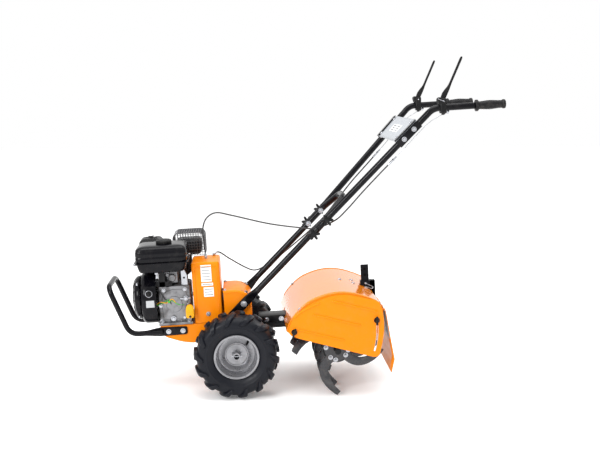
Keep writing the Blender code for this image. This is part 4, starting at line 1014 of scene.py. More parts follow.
make("tank_seam", ENAMEL, slab(seam, 0.3658, 0.3692, 0.0012, 2, "xy"))
make("tank_bolts", ZINC, *(hex_bolt((x, y, 0.3692), UP, 0.008, 0.003, washer=False) for x,
    y in ((-0.368, -0.169), (-0.368, -0.007), (-0.1665, 0.0))))
CAP_AT = np.array((-0.256, -0.095, 0.4343))


def ribbed_cap():
    """A filler cap whose rim is scalloped: r = r0 (1 + 0.02 (|cos 13 t| - 0.6)), with a raised crown."""
    levels = [(0.0, 0.03, 1), (0.0012, 0.0306, 1), (0.0108, 0.0306, 1), (0.013, 0.029, 1),
        (0.0142, 0.0265, 0), (0.0146, 0.02, 0), (0.016, 0.018, 0), (0.016, 0.008, 0)]
    t = around(208)
    rings = []
    for h, r, wave in levels:
        rr = r * (1 + 0.02 * wave * (np.abs(np.cos(13 * t)) - 0.6))
        rings.append(CAP_AT + np.stack([rr * np.cos(t), rr * np.sin(t), np.full(208, h)], axis=-1))
    return loft(rings)


make("filler_cap", PLASTIC, ribbed_cap(), box_at(CAP_AT + (-0.024, -0.0032, 0.01),
    CAP_AT + (0.024, 0.0032, 0.0168), 0.002), body="cap", replaces=["fuel_cap"], smooth=35)
make("filler_neck", ENAMEL, closed_lathe([(0.024, -0.003), (0.0315, -0.003), (0.0312, -0.0004),
    (0.024, -0.0004)], CAP_AT, UP, 48))

AIR_LOW, AIR_HIGH = np.array((-0.376, 0.055, 0.33)), np.array((-0.272, 0.165, 0.428))


def air_ring(z, inward, lean):
    """One level of the air cleaner's cover, its sides leaning in towards the top."""
    line = smooth_outline([(AIR_LOW[0], AIR_LOW[1]), (AIR_HIGH[0], AIR_LOW[1]),
        (AIR_HIGH[0], AIR_HIGH[1]), (AIR_LOW[0], AIR_HIGH[1])], 0.02, 7)
    line = inset(line, inward)
    middle = (AIR_LOW[:2] + AIR_HIGH[:2]) / 2
    line = middle + (line - middle) * lean
    return np.column_stack([line, np.full(len(line), z)])


AIR_LEVELS = [(0.33, 0.006, 1), (0.3315, 0.002, 1), (0.345, 0.0008, 1), (0.3465, 0.0036, 1),
    (0.349, 0.0036, 1), (0.3505, 0.0008, 1), (0.38, 0.001, 0.985), (0.405, 0.0012, 0.95),
    (0.415, 0.003, 0.93), (0.4215, 0.0075, 0.92), (0.4255, 0.014, 0.92), (0.4275, 0.023, 0.92),
    (0.4278, 0.034, 0.92)]
make("air_cover", PLASTIC, loft([air_ring(*level) for level in AIR_LEVELS]), replaces=["air_cleaner"],
    smooth=40)
top = np.array((-0.324, 0.11, 0.4272))
wings = [boss([(0.0075, -0.001), (0.007, 0.003), (0.0045, 0.0045), (0.004, 0.0075)], top, UP, 24)]
wings += [pipe([top + (s * 0.003, 0, 0.004), top + (s * 0.009, 0, 0.0075)], 0.0022, 12,
    0.002) for s in (-1, 1)]
make("air_wing_nut", PLASTIC, *wings)
make("air_ribs", PLASTIC, *(box_at((x, 0.062, 0.4262), (x + 0.0022, 0.092, 0.4284),
    0.0009) for x in np.arange(-0.35, -0.296, 0.0075)))
make("air_elbow", PLASTIC, pipe(smooth_path([(-0.29, 0.095, 0.345), (-0.262, 0.075, 0.318),
    (-0.242, 0.045, 0.3), (-0.24, 0.03, 0.292)]), 0.016, 28, 0.002))

# ---- muffler and its mesh guard -----------------------------------------------------------
MUFF_LOW, MUFF_HIGH = np.array((-0.222, 0.06, 0.3525)), np.array((-0.118, 0.165, 0.418))
shapes = [box_at(MUFF_LOW, MUFF_HIGH, 0.019, 5), box_at((MUFF_LOW[0] - 0.002, MUFF_LOW[1] + 0.004,
    0.3835), (MUFF_HIGH[0] + 0.002, MUFF_HIGH[1] - 0.004, 0.3865), 0.0012),
    pipe([(-0.14, 0.16, 0.385), (-0.14, 0.168, 0.385)], 0.011, 28)]
make("muffler_can", SATIN_BLACK_AND_HOLE_SHADE, *shapes, replaces=["muffler"])
make("muffler_mouth", IRON, boss([(0.0085, 0), (0.0085, 0.0006)], (-0.14, 0.1681, 0.385), RIGHT, 28))
port = BORE_AT + CYLINDER * 0.14
make("exhaust_pipe", IRON, pipe(smooth_path([port + (0.035, 0, 0.0), port + (0.056, 0.004, 0.02),
    (-0.175, 0.105, 0.345), (-0.172, 0.108, 0.358)]), 0.0125, 24, 0.001))


WIRE_R = 0.001


def mesh_guard():
    """A welded wire basket: wires over an arch at even steps, crossed by wires along y."""
    x0, x1, y0, y1, low, top = -0.2315, -0.1045, 0.0545, 0.1705, 0.3535, 0.4455
    arch = rounded([(x0, 0, low), (x0, 0, top), (x1, 0, top), (x1, 0, low)], (0, 0.026, 0.026, 0), 8)
    wires = []
    for y in np.linspace(y0, y1, 13):
        wires.append(pipe(arch + (0, y, 0), WIRE_R, 8, WIRE_R))
    length = np.concatenate([[0], np.cumsum(np.linalg.norm(np.diff(arch, axis=0), axis=1))])
    for d in np.linspace(0, length[-1], 31):
        x, z = np.interp(d, length, arch[:, 0]), np.interp(d, length, arch[:, 2])
        wires.append(pipe([(x, y0, z), (x, y1, z)], WIRE_R, 8, WIRE_R))
    for y in (y0, y1):
        for x in np.linspace(x0, x1, 13)[1:-1]:
            near = min(x - x0, x1 - x)
            high = top - (0.026 - math.sqrt(max(0, 0.026 ** 2 - max(0, 0.026 - near) ** 2)))
            wires.append(pipe([(x, y, low), (x, y, high)], WIRE_R, 8, WIRE_R))
        for z in np.linspace(low, top - 0.024, 7):
            wires.append(pipe([(x0, y, z), (x1, y, z)], WIRE_R, 8, WIRE_R))
        wires.append(pipe(arch + (0, y, 0), 2 * WIRE_R, 10, WIRE_R))
    for x in (x0, x1):
        wires.append(pipe([(x, y0, low), (x, y1, low)], 2 * WIRE_R, 10, WIRE_R))
    return joined(*wires)


make("muffler_mesh", MESH_WIRE, mesh_guard(), replaces=["muffler_guard"])

# ---- engine: dipstick, throttle, wires and brackets --------------------------------------
DIP = np.array((-0.172, -0.1085, 0.16))
handle_line = smooth_outline([(-0.0165, -0.024), (0.0165, -0.024), (0.0165, 0.014), (0.009, 0.03),
    (-0.009, 0.03), (-0.0165, 0.014)], 0.009)
points, faces = slab(handle_line, 0.006, 0.0225, 0.0045, 4)
points = points + DIP
shapes = [(points, faces), boss([(0.0135, 0.0), (0.015, 0.003), (0.015, 0.008)], DIP, LEFT, 32)]
shapes += [box_at(DIP + (-0.015, -0.024, z), DIP + (0.015, -0.02, z + 0.003),
    0.0012) for z in (-0.012, -0.003, 0.006)]
make("dipstick_handle", YELLOW, *shapes, body="dipstick", replaces=["oil_dipstick"])
# Painted shade: a satin black disc on the handle's face stands in for the shaded inside of its hole.
make("dipstick_hole_shade", SATIN_BLACK_AND_HOLE_SHADE, boss([(0.0046, 0), (0.0046, 0.0008)], DIP + (0, -0.0224, -0.0165),
    LEFT, 24), body="dipstick")

PIVOT = np.array((-0.292, -0.0975, 0.29))
shapes = [box_at(PIVOT + (-0.0038, -0.0014, -0.005), PIVOT + (0.0038, 0.0014, 0.03), 0.001),
    box_at(PIVOT + (-0.0068, -0.0118, 0.0225), PIVOT + (0.0068, 0.001, 0.0338), 0.003, 3)]
make("throttle_arm", ZINC, *shapes, body="throttle", replaces=["throttle_lever"])
shapes = [box_at((-0.286, -0.0945, 0.262), (-0.262, -0.0925, 0.3265), 0.0008, 1),
    box_at((-0.3, -0.0945, 0.262), (-0.236, -0.0925, 0.281), 0.0008, 1),
    hex_bolt(PIVOT + (0, -0.0016, 0), LEFT, 0.008, 0.003), hex_bolt((-0.245, -0.0945, 0.2715), LEFT,
    0.008, 0.003)]
make("throttle_plate", SATIN_BLACK_AND_HOLE_SHADE, *shapes)
tab = smooth_outline([(-0.2, 0.25), (-0.176, 0.25), (-0.176, 0.298), (-0.188, 0.3275), (-0.2, 0.3275)],
    0.003)
make("tank_bracket", ZINC, slab(tab, 0.0795, 0.082, 0.0006, 1))
# Painted shade: a satin black disc on the bracket stands in for the shaded inside of its hole.
make("tank_bracket_hole_shade", SATIN_BLACK_AND_HOLE_SHADE, boss([(0.0042, 0), (0.0042, 0.0008)], (-0.1885, -0.082, 0.29),
    LEFT, 20))
make("carburettor", ALUMINIUM, box_at((-0.258, -0.075, 0.268), (-0.212, -0.02, 0.318), 0.006, 3),
    boss([(0.015, 0), (0.015, 0.012), (0.012, 0.015)], (-0.235, -0.074, 0.292), LEFT, 32),
    boss([(0.006, 0), (0.006, 0.014)], (-0.252, -0.074, 0.305), LEFT, 20))
spring = [(-0.29 + 0.052 * s, -0.0885 + 0.0028 * math.cos(34 * math.pi * s),
    0.3155 + 0.0028 * math.sin(34 * math.pi * s)) for s in np.linspace(0, 1, 240)]
make("governor_spring", ZINC, pipe(spring, 0.0005, 6, 0.0003))
WIRES = (("wire_yellow", YELLOW, [(-0.298, -0.1035, 0.196), (-0.285, -0.1055, 0.203),
    (-0.262, -0.105, 0.198), (-0.24, -0.1045, 0.212), (-0.226, -0.1035, 0.196)]),
    ("wire_green", GREEN, [(-0.298, -0.1025, 0.19), (-0.272, -0.1045, 0.2), (-0.255, -0.105, 0.21),
    (-0.235, -0.104, 0.202), (-0.215, -0.103, 0.188), (-0.196, -0.099, 0.186)]),
    ("wire_black", CABLE, [(-0.3, -0.1, 0.25), (-0.282, -0.1035, 0.24), (-0.268, -0.1045, 0.214),
    (-0.25, -0.105, 0.206), (-0.244, -0.104, 0.192)]))
for name, material, points in WIRES:
    make(name, material, pipe(smooth_path(points, 10), 0.0016, 10, 0.0008))
make("wire_clip", GREEN, rounded_box((0.01, 0.006, 0.009), (-0.252, -0.1045, 0.202), 0.002))
make("drain_plug", ZINC, hex_bolt((-0.186, -0.1005, 0.212), LEFT, 0.012, 0.009))
make("drain_rod", ZINC, pipe([(-0.206, -0.105, 0.211), (-0.168, -0.105, 0.212)], 0.0032, 14, 0.002))

# ---- lower handle -------------------------------------------------------------------------
TUBE_R, LOW_Y = 0.0125, 0.1255
LOW_FOOT, LOW_TOP = np.array((0.05, 0, 0.1865)), np.array((0.395, 0, 0.511))
RUN = unit(LOW_TOP - LOW_FOOT)
SQUARE = np.array((-RUN[2], 0, RUN[0]))
CROWN = LOW_TOP + RUN * 0.085
KNOBS = [LOW_FOOT + RUN * 0.377, LOW_FOOT + RUN * 0.451]
HIGH_Y = LOW_Y + 2 * TUBE_R + 0.0003


def sideways(point, y):
    """The point moved to y."""
    return np.array((point[0], y, point[2]))


def handle_foot(side):
    """The pressed tube end that bolts to the gearbox: a bar whose section goes flat."""
    rings = []
    t = around(36)
    for s, flat in ((-0.1035, 1), (-0.102, 1), (-0.04, 1), (0.0, 1), (0.02, 0.85), (0.04, 0.4),
            (0.06, 0.08), (0.07, 0.0)):
        c, z = squircle(t, 2 + 7 * flat)
        tall, wide = 0.0125 + 0.0053 * flat, 0.0125 - 0.008 * flat
        shrink = 0.93 if s < -0.103 else 1.0
        middle = sideways(LOW_FOOT + RUN * s, side * (LOW_Y - 0.013 * flat))
        rings.append(middle + np.outer(tall * z * shrink, SQUARE) + np.outer(wide * c * shrink, RIGHT))
    return loft(rings)


loop = [sideways(LOW_FOOT + RUN * 0.06, -LOW_Y), sideways(LOW_TOP, -LOW_Y), sideways(CROWN, -0.055),
    sideways(CROWN, 0.055), sideways(LOW_TOP, LOW_Y), sideways(LOW_FOOT + RUN * 0.06, LOW_Y)]
make("lower_handle", ENAMEL, pipe(rounded(loop, 0.055, 10), TUBE_R, 28), handle_foot(-1), handle_foot(1),
    replaces=["lower_handlebar"], smooth=45)
for side, word in SIDES:
    foot = sideways(LOW_FOOT - RUN * 0.015, side * 0.117)
    make("handle_foot_bolts_" + word, ZINC, hex_bolt(foot, (0, side, 0), 0.015, 0.006),
        hex_bolt(foot - RUN * 0.056, (0, side, 0), 0.015, 0.006))

# ---- upper handle, grips and knobs --------------------------------------------------------
HIGH = np.array([(0.308, HIGH_Y, 0.4275), (0.4, HIGH_Y, 0.5165), (0.788, 0.2445, 0.9005),
    (1.05, 0.25, 0.9025)])


def along_handle(x, side):
    """The point of the level part of the handle tube at one x."""
    point = HIGH[2] + (HIGH[3] - HIGH[2]) * (x - HIGH[2][0]) / (HIGH[3][0] - HIGH[2][0])
    return point * (1, side, 1)


def grip_rings(side):
    """A soft grip: a waisted sleeve with finger ribs, a flange inside and a domed end."""
    start, way = along_handle(0.945, side), unit(along_handle(1.05, side) - along_handle(0.945, side))
    profile = [(0, 0.0002), (0.0206, 0.0002), (0.0215, 0.0015), (0.0215, 0.0085), (0.0205, 0.01),
        (0.0168, 0.0112), (0.0158, 0.014)]
    for h in np.linspace(0.016, 0.1, 43):
        base = 0.0157 + 0.0013 * math.sin((h - 0.016) / 0.084 * math.pi * 2 - 1.2)
        profile.append((base + 0.0005 * (1 if int(round(h * 500)) % 2 else -1), h))
    profile += [(0.0171, 0.103), (0.0172, 0.108), (0.0165, 0.1115), (0.0145, 0.113), (0.004, 0.113),
        (0.003, 0.1118), (0, 0.1118)]
    return turned(profile, start, way, 44)


def star_head(at, side, face):
    """A six-lobed hand knob: r = 0.0185 + 0.007 cos 6t, drawn in by e(h) at its edges."""
    t = around(120)
    r = 0.0185 + 0.007 * np.cos(6 * t) - 0.0008 * np.cos(12 * t)
    rings = []
    for h, e in ((0.0, 0.0045), (0.0008, 0.0022), (0.0024, 0.0006), (0.0045, 0.0), (0.0125, 0.0),
            (0.015, 0.0008), (0.0168, 0.0026), (0.0176, 0.005), (0.0176, 0.0075)):
        rr = np.maximum(r - e, 0.0045)
        rings.append(sideways(at, side * (face + h)) + np.stack([rr * np.cos(t), 0 * t,
            rr * np.sin(t)], -1))
    return loft(rings)


for side, word in SIDES:
    bent = np.concatenate([rounded(HIGH[:3], 0.15, 8)[:-1], rounded(HIGH[1:], 0.06, 12)[1:]])
    bent = bent * (1, side, 1)
    make("upper_handle_" + word, ENAMEL, pipe(bent, TUBE_R, 28, 0.002), replaces=["upper_tube_" + word],
        smooth=45)
    make("grip_sleeve_" + word, GRIP_RUBBER, grip_rings(side), replaces=["grip_" + word], smooth=60)
    for at, level in zip(KNOBS, ("lower", "upper")):
        face = HIGH_Y + TUBE_R + 0.002
        shapes = [star_head(at, side, face), boss([(0.01, 0.01), (0.0092, 0.0192), (0.006, 0.0203)],
            sideways(at, side * face), (0, side, 0), 32), boss([(0.011, -0.0018), (0.012, 0.003)],
            sideways(at, side * face), (0, side, 0), 32)]
        make(f"hand_knob_{word}_{level}", PLASTIC, *shapes, replaces=[f"star_knob_{word}_{level}"],
            smooth=40)
        make(f"knob_screw_{word}_{level}", ZINC, pipe([sideways(at, side * (face + 0.003)),
            sideways(at, side * (LOW_Y - 0.0235))], 0.004, 16, 0.0008),
            hex_bolt(sideways(at, side * (LOW_Y - TUBE_R - 0.0004)), (0, -side, 0), 0.013, 0.006))

# ---- clutch levers, their brackets and the cables ----------------------------------------
LEVER_X, LEVER_LEAN = 0.824, math.radians(25.7)


def lever_blade(side):
    """The pressed lever: a blade whose width and bow follow its length s, with a rolled rim."""
    pivot = along_handle(LEVER_X, side) + (0, 0, 0.025)
    up = np.array((math.sin(LEVER_LEAN), 0, math.cos(LEVER_LEAN)))
    front = np.array((math.cos(LEVER_LEAN), 0, -math.sin(LEVER_LEAN)))
    rings = []
    section = smooth_outline([(-1, -1), (1, -1), (1, 1), (-1, 1)], 0.62, 4)
    for s, rear, fore, thick in ((-0.004, -0.003, 0.003, 0.003), (-0.0028, -0.006, 0.005, 0.0036),
            (0.004, -0.01, 0.006, 0.0039), (0.012, -0.013, 0.0064, 0.0039),
            (0.026, -0.0135, 0.0066, 0.0039), (0.04, -0.0105, 0.0066, 0.0039),
            (0.052, -0.0065, 0.0062, 0.0039), (0.062, -0.0046, 0.0052, 0.0039),
            (0.075, -0.004, 0.0046, 0.0038), (0.13, -0.0042, 0.0046, 0.0038),
            (0.165, -0.0044, 0.0046, 0.0038), (0.172, -0.0038, 0.004, 0.0034),
            (0.1755, -0.002, 0.0022, 0.002)):
        middle, wide = (fore + rear) / 2, (fore - rear) / 2
        rings.append(pivot + up * s + np.outer(middle + section[:, 0] * wide,
            front) + np.outer(section[:, 1] * thick, RIGHT))
    return loft(rings)


for side, word in SIDES:
    seat = along_handle(LEVER_X, side)
    bracket = [box_at(seat + (-0.0118, -0.0164, -0.0212), seat + (0.0118, 0.0164, 0.017), 0.004, 3)]
    bracket += [box_at(seat + (-0.0118, low, 0.012), seat + (0.0118, high, 0.0338), 0.003, 3) for low,
        high in ((-0.0162, -0.005), (0.005, 0.0162))]
    for low, high in ((-0.015, -0.0052), (0.0052, 0.015)):
        ear = smooth_outline([(0.01, -0.018), (0.012, 0.016), (0.004, 0.0345), (-0.014, 0.04),
            (-0.0225, 0.032), (-0.018, 0.014)], 0.006, 4)
        points, faces = slab(ear, low, high, 0.0022, 3)
        bracket.append((points + seat, faces))
    bracket.append(boss([(0.0064, -0.002), (0.006, 0.006), (0.0045, 0.0075)], seat + (0, 0, -0.0195),
        DOWN, 20))
    make("lever_clamp_" + word, PLASTIC, *bracket, replaces=["lever_bracket_" + word])
    pin = seat + (0, 0, 0.025)
    make("lever_pin_" + word, ZINC, pipe([pin - (0, 0.0172, 0), pin + (0, 0.0172, 0)], 0.0026, 16, 0.001),
        pipe([seat + (-0.02, side * 0.0172, 0.0335), seat + (0.004, side * 0.0172, 0.0215)], 0.0012, 12,
        0.001), hex_bolt(seat + (0.0105, 0, -0.015), (1, 0, -0.35), 0.0135, 0.01))
    make("lever_" + word, PLASTIC, lever_blade(side), body=("left" if side < 0 else "right") + "_lever",
        replaces=["clutch_lever_" + word], smooth=40)


def under_handle(side):
    """The last run of each cable, below its handle tube and up to its lever."""
    run = [(0.455, 0.172, 0.53), (0.52, 0.19, 0.6), (0.594, 0.2, 0.673), (0.66, 0.214, 0.737),
        (0.76, 0.238, 0.838), (0.805, 0.2445, 0.867), (0.824, 0.2453, 0.8765)]
    return [(x, side * y, z) for x, y, z in run]


TINE_CABLE = [(-0.1, -0.02, 0.352), (-0.103, -0.02, 0.4), (-0.106, -0.02, 0.46), (-0.09, -0.018, 0.508),
    (-0.05, -0.014, 0.53), (0.01, -0.01, 0.516), (0.124, -0.004, 0.481), (0.187, -0.002, 0.465),
    (0.27, -0.02, 0.452), (0.34, -0.075, 0.452), (0.41, -0.14, 0.487)] + under_handle(-1)
DRIVE_CABLE = [(-0.075, 0.04, 0.352), (-0.05, 0.042, 0.362), (-0.008, 0.055, 0.33), (0.05, 0.09, 0.285),
    (0.09, 0.125, 0.262), (0.13, 0.147, 0.27), (0.2, 0.149, 0.312), (0.29, 0.15, 0.378),
    (0.345, 0.15, 0.422), (0.4, 0.156, 0.47)] + under_handle(1)
for name, node, points in (("tine_cable", "tine_clutch_cable", TINE_CABLE),
        ("drive_cable", "drive_clutch_cable", DRIVE_CABLE)):
    whole = smooth_path(points, 8)
    split = np.flatnonzero(whole[:, 0] > 0.64)[0]
    line = whole[:split]
    make(name, CABLE, pipe(line, 0.0028, 14, 0.001), replaces=[node], smooth=60)
    make(name + "_wire", ZINC, pipe(whole[split - 2:], 0.0012, 10, 0.0005), smooth=60)
    way = unit(line[6] - line[0])
    make(name + "_adjuster", ZINC, boss([(0.0048, -0.003), (0.0048, 0.014), (0.0038, 0.016),
        (0.0036, 0.022)], line[0], way, 20), hex_bolt(line[0] + way * 0.004, way, 0.0115, 0.0045,
        washer=False))
    way = unit(line[-1] - line[-6])
    make(name + "_barrel", ZINC, boss([(0.0042, -0.022), (0.0044, -0.004), (0.0036, 0.0), (0.0036, 0.02),
        (0.0026, 0.023)], line[-1], way, 20), hex_bolt(line[-1] + way * 0.004, way, 0.0095, 0.004,
        washer=False))

# ---- control panel --------------------------------------------------------------------------
PANEL_LOW, PANEL_HIGH = np.array((0.657, 0, 0.7709)), np.array((0.7365, 0, 0.8495))
RISE = unit(PANEL_HIGH - PANEL_LOW)
OVER = np.array((-RISE[2], 0, RISE[0]))


def panel_skin():
    """The panel: a plate between the tubes, its two sides turned down in a quarter circle."""
    rows = []
    for s in np.linspace(0, 1, 9):
        at = PANEL_LOW + (PANEL_HIGH - PANEL_LOW) * s
        edge = 0.2 + 0.019 * s
        bend = 0.009
        a = np.linspace(0, math.pi / 2, 7)
        half = [(edge, 0.004)] + [(edge - bend * (1 - math.cos(t)),
            0.0165 - bend * (1 - math.sin(t))) for t in a]
        half += [(edge * k, 0.0165 + 0.0006 * math.cos(k * 9)) for k in (0.8, 0.6, 0.4, 0.2, 0.0)]
        ring = [at + OVER * up + (0, -y, 0) for y, up in half]
        ring += [at + OVER * up + (0, y, 0) for y, up in half[-2::-1]]
        rows.append(ring)
    rows = np.asarray(rows)
    return rows.reshape(-1, 3), grid_quads(*rows.shape[:2], False, False)


thicken(make("panel_plate", PANEL_GREY, panel_skin(), replaces=["control_panel"], smooth=40), 0.002, 0.0)
middle = (PANEL_LOW + PANEL_HIGH) / 2 + OVER * 0.0178
FACE = np.array([RISE, RIGHT, OVER])
shapes = [rounded_box((0.036, 0.17, 0.0016), middle, 0.0007, 1, FACE)]
make("panel_card", LABEL, *shapes)
bars = [rounded_box((0.0042, 0.06 - 0.014 * (k % 2), 0.0012),
    middle + OVER * 0.0008 + RISE * (0.01 - 0.01 * k) + (0, y, 0), 0.0004, 1,
    FACE) for k in range(3) for y in (-0.04, 0.04)]
make("panel_bars", LABEL_INK, *bars)
make("panel_bolts", ZINC, *(hex_bolt((PANEL_LOW + (PANEL_HIGH - PANEL_LOW) * s) + OVER * 0.0175 + (0, y,
    0), OVER, 0.009, 0.004) for s in (0.15, 0.85) for y in (-0.185, 0.185)))
TUBE_RUN = unit(HIGH[2] - HIGH[1])
for side, word in SIDES:
    middle = (HIGH[1] + (HIGH[2] - HIGH[1]) * 0.765) * (1, side, 1)
    along = TUBE_RUN * (1, side, 1)
    outward = unit(np.array((0, side, 0)) - along * (side * along[1]))
    axes = np.array([along, outward, np.cross(along, outward)])
    shapes = [rounded_box((0.112, 0.004, 0.03), middle + outward * 0.014, 0.0018, 2, axes),
        rounded_box((0.112, 0.027, 0.004), middle + outward * 0.003 + np.array((-0.014, 0, 0.014)) * 0.98,
        0.0018, 2, axes)]
    make("panel_bracket_" + word, ENAMEL, *shapes)
    make("bracket_bolts_" + word, ZINC, *(hex_bolt(middle + outward * 0.016 + along * s, outward, 0.0115,
        0.005) for s in (-0.025, 0.027)))

# ---- tine drive -----------------------------------------------------------------------------
make("drive_housing", SATIN_BLACK_AND_HOLE_SHADE, pipe([(0.0315, 0, 0.065), (0.339, 0, 0.065)], 0.0218, 36, 0.0004),
    box_at((0.0953, -0.0398, 0.074), (0.3298, 0.0398, 0.1038), 0.0025, 2),
    box_at((0.095, -0.04, 0.06), (0.103, 0.04, 0.1038), 0.0015, 2), boss([(0.03, 0.0), (0.03, 0.009),
    (0.0225, 0.013)], (0.058, 0, 0.065), AFT, 36), replaces=["drive_tube"])
make("drive_bolts", ZINC, *(hex_bolt((x, side * 0.0398, 0.089), (0, side, 0), 0.012, 0.005) for side,
    _ in SIDES for x in (0.125, 0.185)))
ROTOR = np.array((0.39, 0, -0.008))
case = [(ROTOR[0] + 0.052 * math.cos(a),
    ROTOR[2] + 0.052 * math.sin(a)) for a in np.radians(np.linspace(200, 380, 32))]
case += list(smooth_outline([(0.445, 0.075), (0.425, 0.105), (0.34, 0.105), (0.34, 0.03)], 0.012, 5))
shapes = [slab(np.array(case), -0.0215, 0.0215, 0.005, 4)]
shapes += [slab(inset(np.array(case), -0.0005), -0.002, 0.002, 0.001, 2)]
for side, _ in SIDES:
    shapes.append(closed_lathe([(0.0138, 0.018), (0.036, 0.018), (0.034, 0.0235), (0.024, 0.027),
        (0.0138, 0.027)], ROTOR, (0, side, 0), 44))
make("tine_gearcase", IRON, *shapes, replaces=["tine_gear_case"])
make("gearcase_bolts", ZINC, *(hex_bolt((ROTOR[0] + 0.043 * math.cos(a), side * 0.0213,
    ROTOR[2] + 0.043 * math.sin(a)), (0, side, 0), 0.008, 0.0035) for side,
    _ in SIDES for a in (0.5, -0.5, -1.5, -2.5, 2.4)), *(hex_bolt((x, side * 0.0213, 0.086), (0, side, 0),
    0.008, 0.0035) for side, _ in SIDES for x in (0.356, 0.41)))

# ---- rotor and tines ------------------------------------------------------------------------
FLANGE_Y = (0.07, 0.19)
shapes = [pipe([ROTOR - (0, 0.2385, 0), ROTOR + (0, 0.2385, 0)], 0.0124, 28, 0.0012)]
for side, _ in SIDES:
    for y in FLANGE_Y:
        shapes.append(boss([(0.0545, -0.0029), (0.0558, -0.0018), (0.0558, 0.0018), (0.0545, 0.0029)],
            ROTOR + (0, side * y, 0), RIGHT, 56))
        shapes.append(boss([(0.02, 0.0), (0.0185, 0.016)], ROTOR + (0, side * (y - 0.0029), 0),
            (0, -side, 0), 32))
make("rotor_axle", SATIN_BLACK_AND_HOLE_SHADE, *shapes, body="tine_rotor", replaces=["rotor_shaft"])

TINE_BEZIER = np.array([(-0.004, -0.03), (-0.052, -0.088), (-0.006, -0.142), (0.056, -0.154)])
TINE_R, TINE_TURN = 0.18, math.radians(38)


def tine_line(count, side):
    """Middle points, width directions and half widths along a tine, with t from 0 to 1.

    The middle follows a Bezier curve; past t = 0.45 the blade turns by 38 degrees and bows out
    sideways as 0.030 late^2.
    """
    t = np.linspace(0, 1, count)[:, None]
    a, b, c, d = TINE_BEZIER
    mid = a * (1 - t) ** 3 + 3 * b * t * (1 - t) ** 2 + 3 * c * t * t * (1 - t) + d * t ** 3
    run = unit((b - a) * (1 - t) ** 2 + (c - b) * 2 * t * (1 - t) + (d - c) * t * t)
    late = np.maximum(0, (t - 0.45) / 0.55)
    turn = TINE_TURN * late
    across = np.hstack([-run[:, 1:] * np.cos(turn), side * np.sin(turn), run[:, :1] * np.cos(turn)])
    middle = np.hstack([mid[:, :1], side * 0.03 * late ** 2, mid[:, 1:]])
    return t[:, 0], middle, across, np.hstack([run[:, :1], np.zeros_like(t), run[:, 1:]])


t, middle, across, run = tine_line(9, 1)
corners = np.concatenate([middle + across * (0.0185 - 0.004 * t)[:, None],
    middle - across * (0.0185 - 0.004 * t)[:, None]])
reach = np.hypot(corners[:, 0], corners[:, 2])
TINE_SCALE = (TINE_R - 0.0005) / reach.max()
far = corners[reach.argmax()]
PITCH = math.atan2(CHASSIS_X[2], CHASSIS_X[0])
TINE_PHASE = -math.atan2(-far[0], -far[2]) + PITCH


def tine_spin(vector, quarter):
    """Points of the first tine as the tine a number of quarter turns on has them."""
    a = TINE_PHASE + quarter * math.pi / 2
    turn = np.array([(math.cos(a), 0, -math.sin(a)), RIGHT, (math.sin(a), 0, math.cos(a))])
    return np.asarray(vector, float) @ turn


def tine(side, quarter):
    """One blade: a flat bar along the tine's line, ground to an edge on its leading side."""
    t, middle, across, run = tine_line(26, side)
    half = 0.0185 - 0.004 * t
    half[-1] *= 0.9
    thick = unit(np.cross(across, run))
    edge = 0.0025 - 0.0014 * t
    rings = []
    for u, w in ((-1.0, -0.25), (-0.95, -0.95), (0.6, -1.0), (1.0, -0.3), (1.0, 0.3), (0.6, 1.0),
            (-0.95, 0.95), (-1.0, 0.25)):
        thin = np.where(abs(u) > 0.97, edge, 0.0025)
        rings.append(middle * (TINE_SCALE, 1, TINE_SCALE) + across * (half * u * TINE_SCALE)[:,
            None] + thick * (w * thin)[:, None])
    points, faces = loft(np.stack(rings, axis=1))
    return tine_spin(points, quarter), faces


for side, word in SIDES:
    for y, place in zip(FLANGE_Y, ("inner", "outer")):
        at = ROTOR + (0, side * (y + 0.0063), 0)
        parts = [tine(side, quarter) for quarter in range(4)]
        parts.append(closed_lathe([(0.0138, -0.0024), (0.0495, -0.0024), (0.0495, 0.0024),
            (0.0138, 0.0024)], (0, 0, 0), RIGHT, 44))
        points, faces = joined(*parts)
        make(f"tine_set_{word}_{place}", TINE_STEEL, (points + at, faces), body="tine_rotor",
            replaces=[f"tines_{word}_{place}"], smooth=30)
        bolts = []
        for quarter in range(4):
            for spot in ((-0.0135, 0, -0.04), (0.0085, 0, -0.043)):
                head = at + tine_spin(spot, quarter) + (0, side * 0.0024, 0)
                bolts.append(hex_bolt(head, (0, side, 0), 0.011, 0.005, stud=0.003))
        make(f"tine_bolts_{word}_{place}", ZINC, *bolts, body="tine_rotor")

# ---- hood -----------------------------------------------------------------------------------
HALF = 0.25
HOOD_LINE = [(0.196, 0.088), (0.216, 0.128), (0.247, 0.164), (0.285, 0.194), (0.33, 0.213),
    (0.378, 0.2235), (0.425, 0.224), (0.482, 0.211), (0.548, 0.181), (0.57, 0.15)]
CHEEK_LOW = [(0.566, 0.1), (0.556, 0.05), (0.5, 0.075), (0.43, 0.105), (0.33, 0.112), (0.255, 0.09),
    (0.225, 0.072), (0.212, 0.075)]
line = smooth_path([(x, 0, z) for x, z in HOOD_LINE], 8)[:, [0, 2]]


def hood_skin():
    """The hood: its line carried across, without the quads over the two cut-outs."""
    ys = np.concatenate([np.linspace(-HALF, -0.043, 10), [-0.0285, -0.0145, 0.0, 0.0145, 0.0285],
        np.linspace(0.043, HALF, 10)])
    x, z = np.repeat(line[:, :1], len(ys), 1), np.repeat(line[:, 1:], len(ys), 1)
    points = np.stack([x, np.repeat(ys[None], len(line), 0), z], axis=-1)
    faces = np.array(grid_quads(len(line), len(ys), False, False))
    flat = points.reshape(-1, 3)
    middle = flat[faces].mean(axis=1)
    stake_gap = (middle[:, 0] > 0.514) & (abs(middle[:, 1]) < 0.0145)
    tube_gap = (middle[:, 0] < 0.23) & (abs(middle[:, 1]) < 0.043) & (middle[:, 2] < 0.108)
    return flat, faces[~(stake_gap | tube_gap)].tolist()


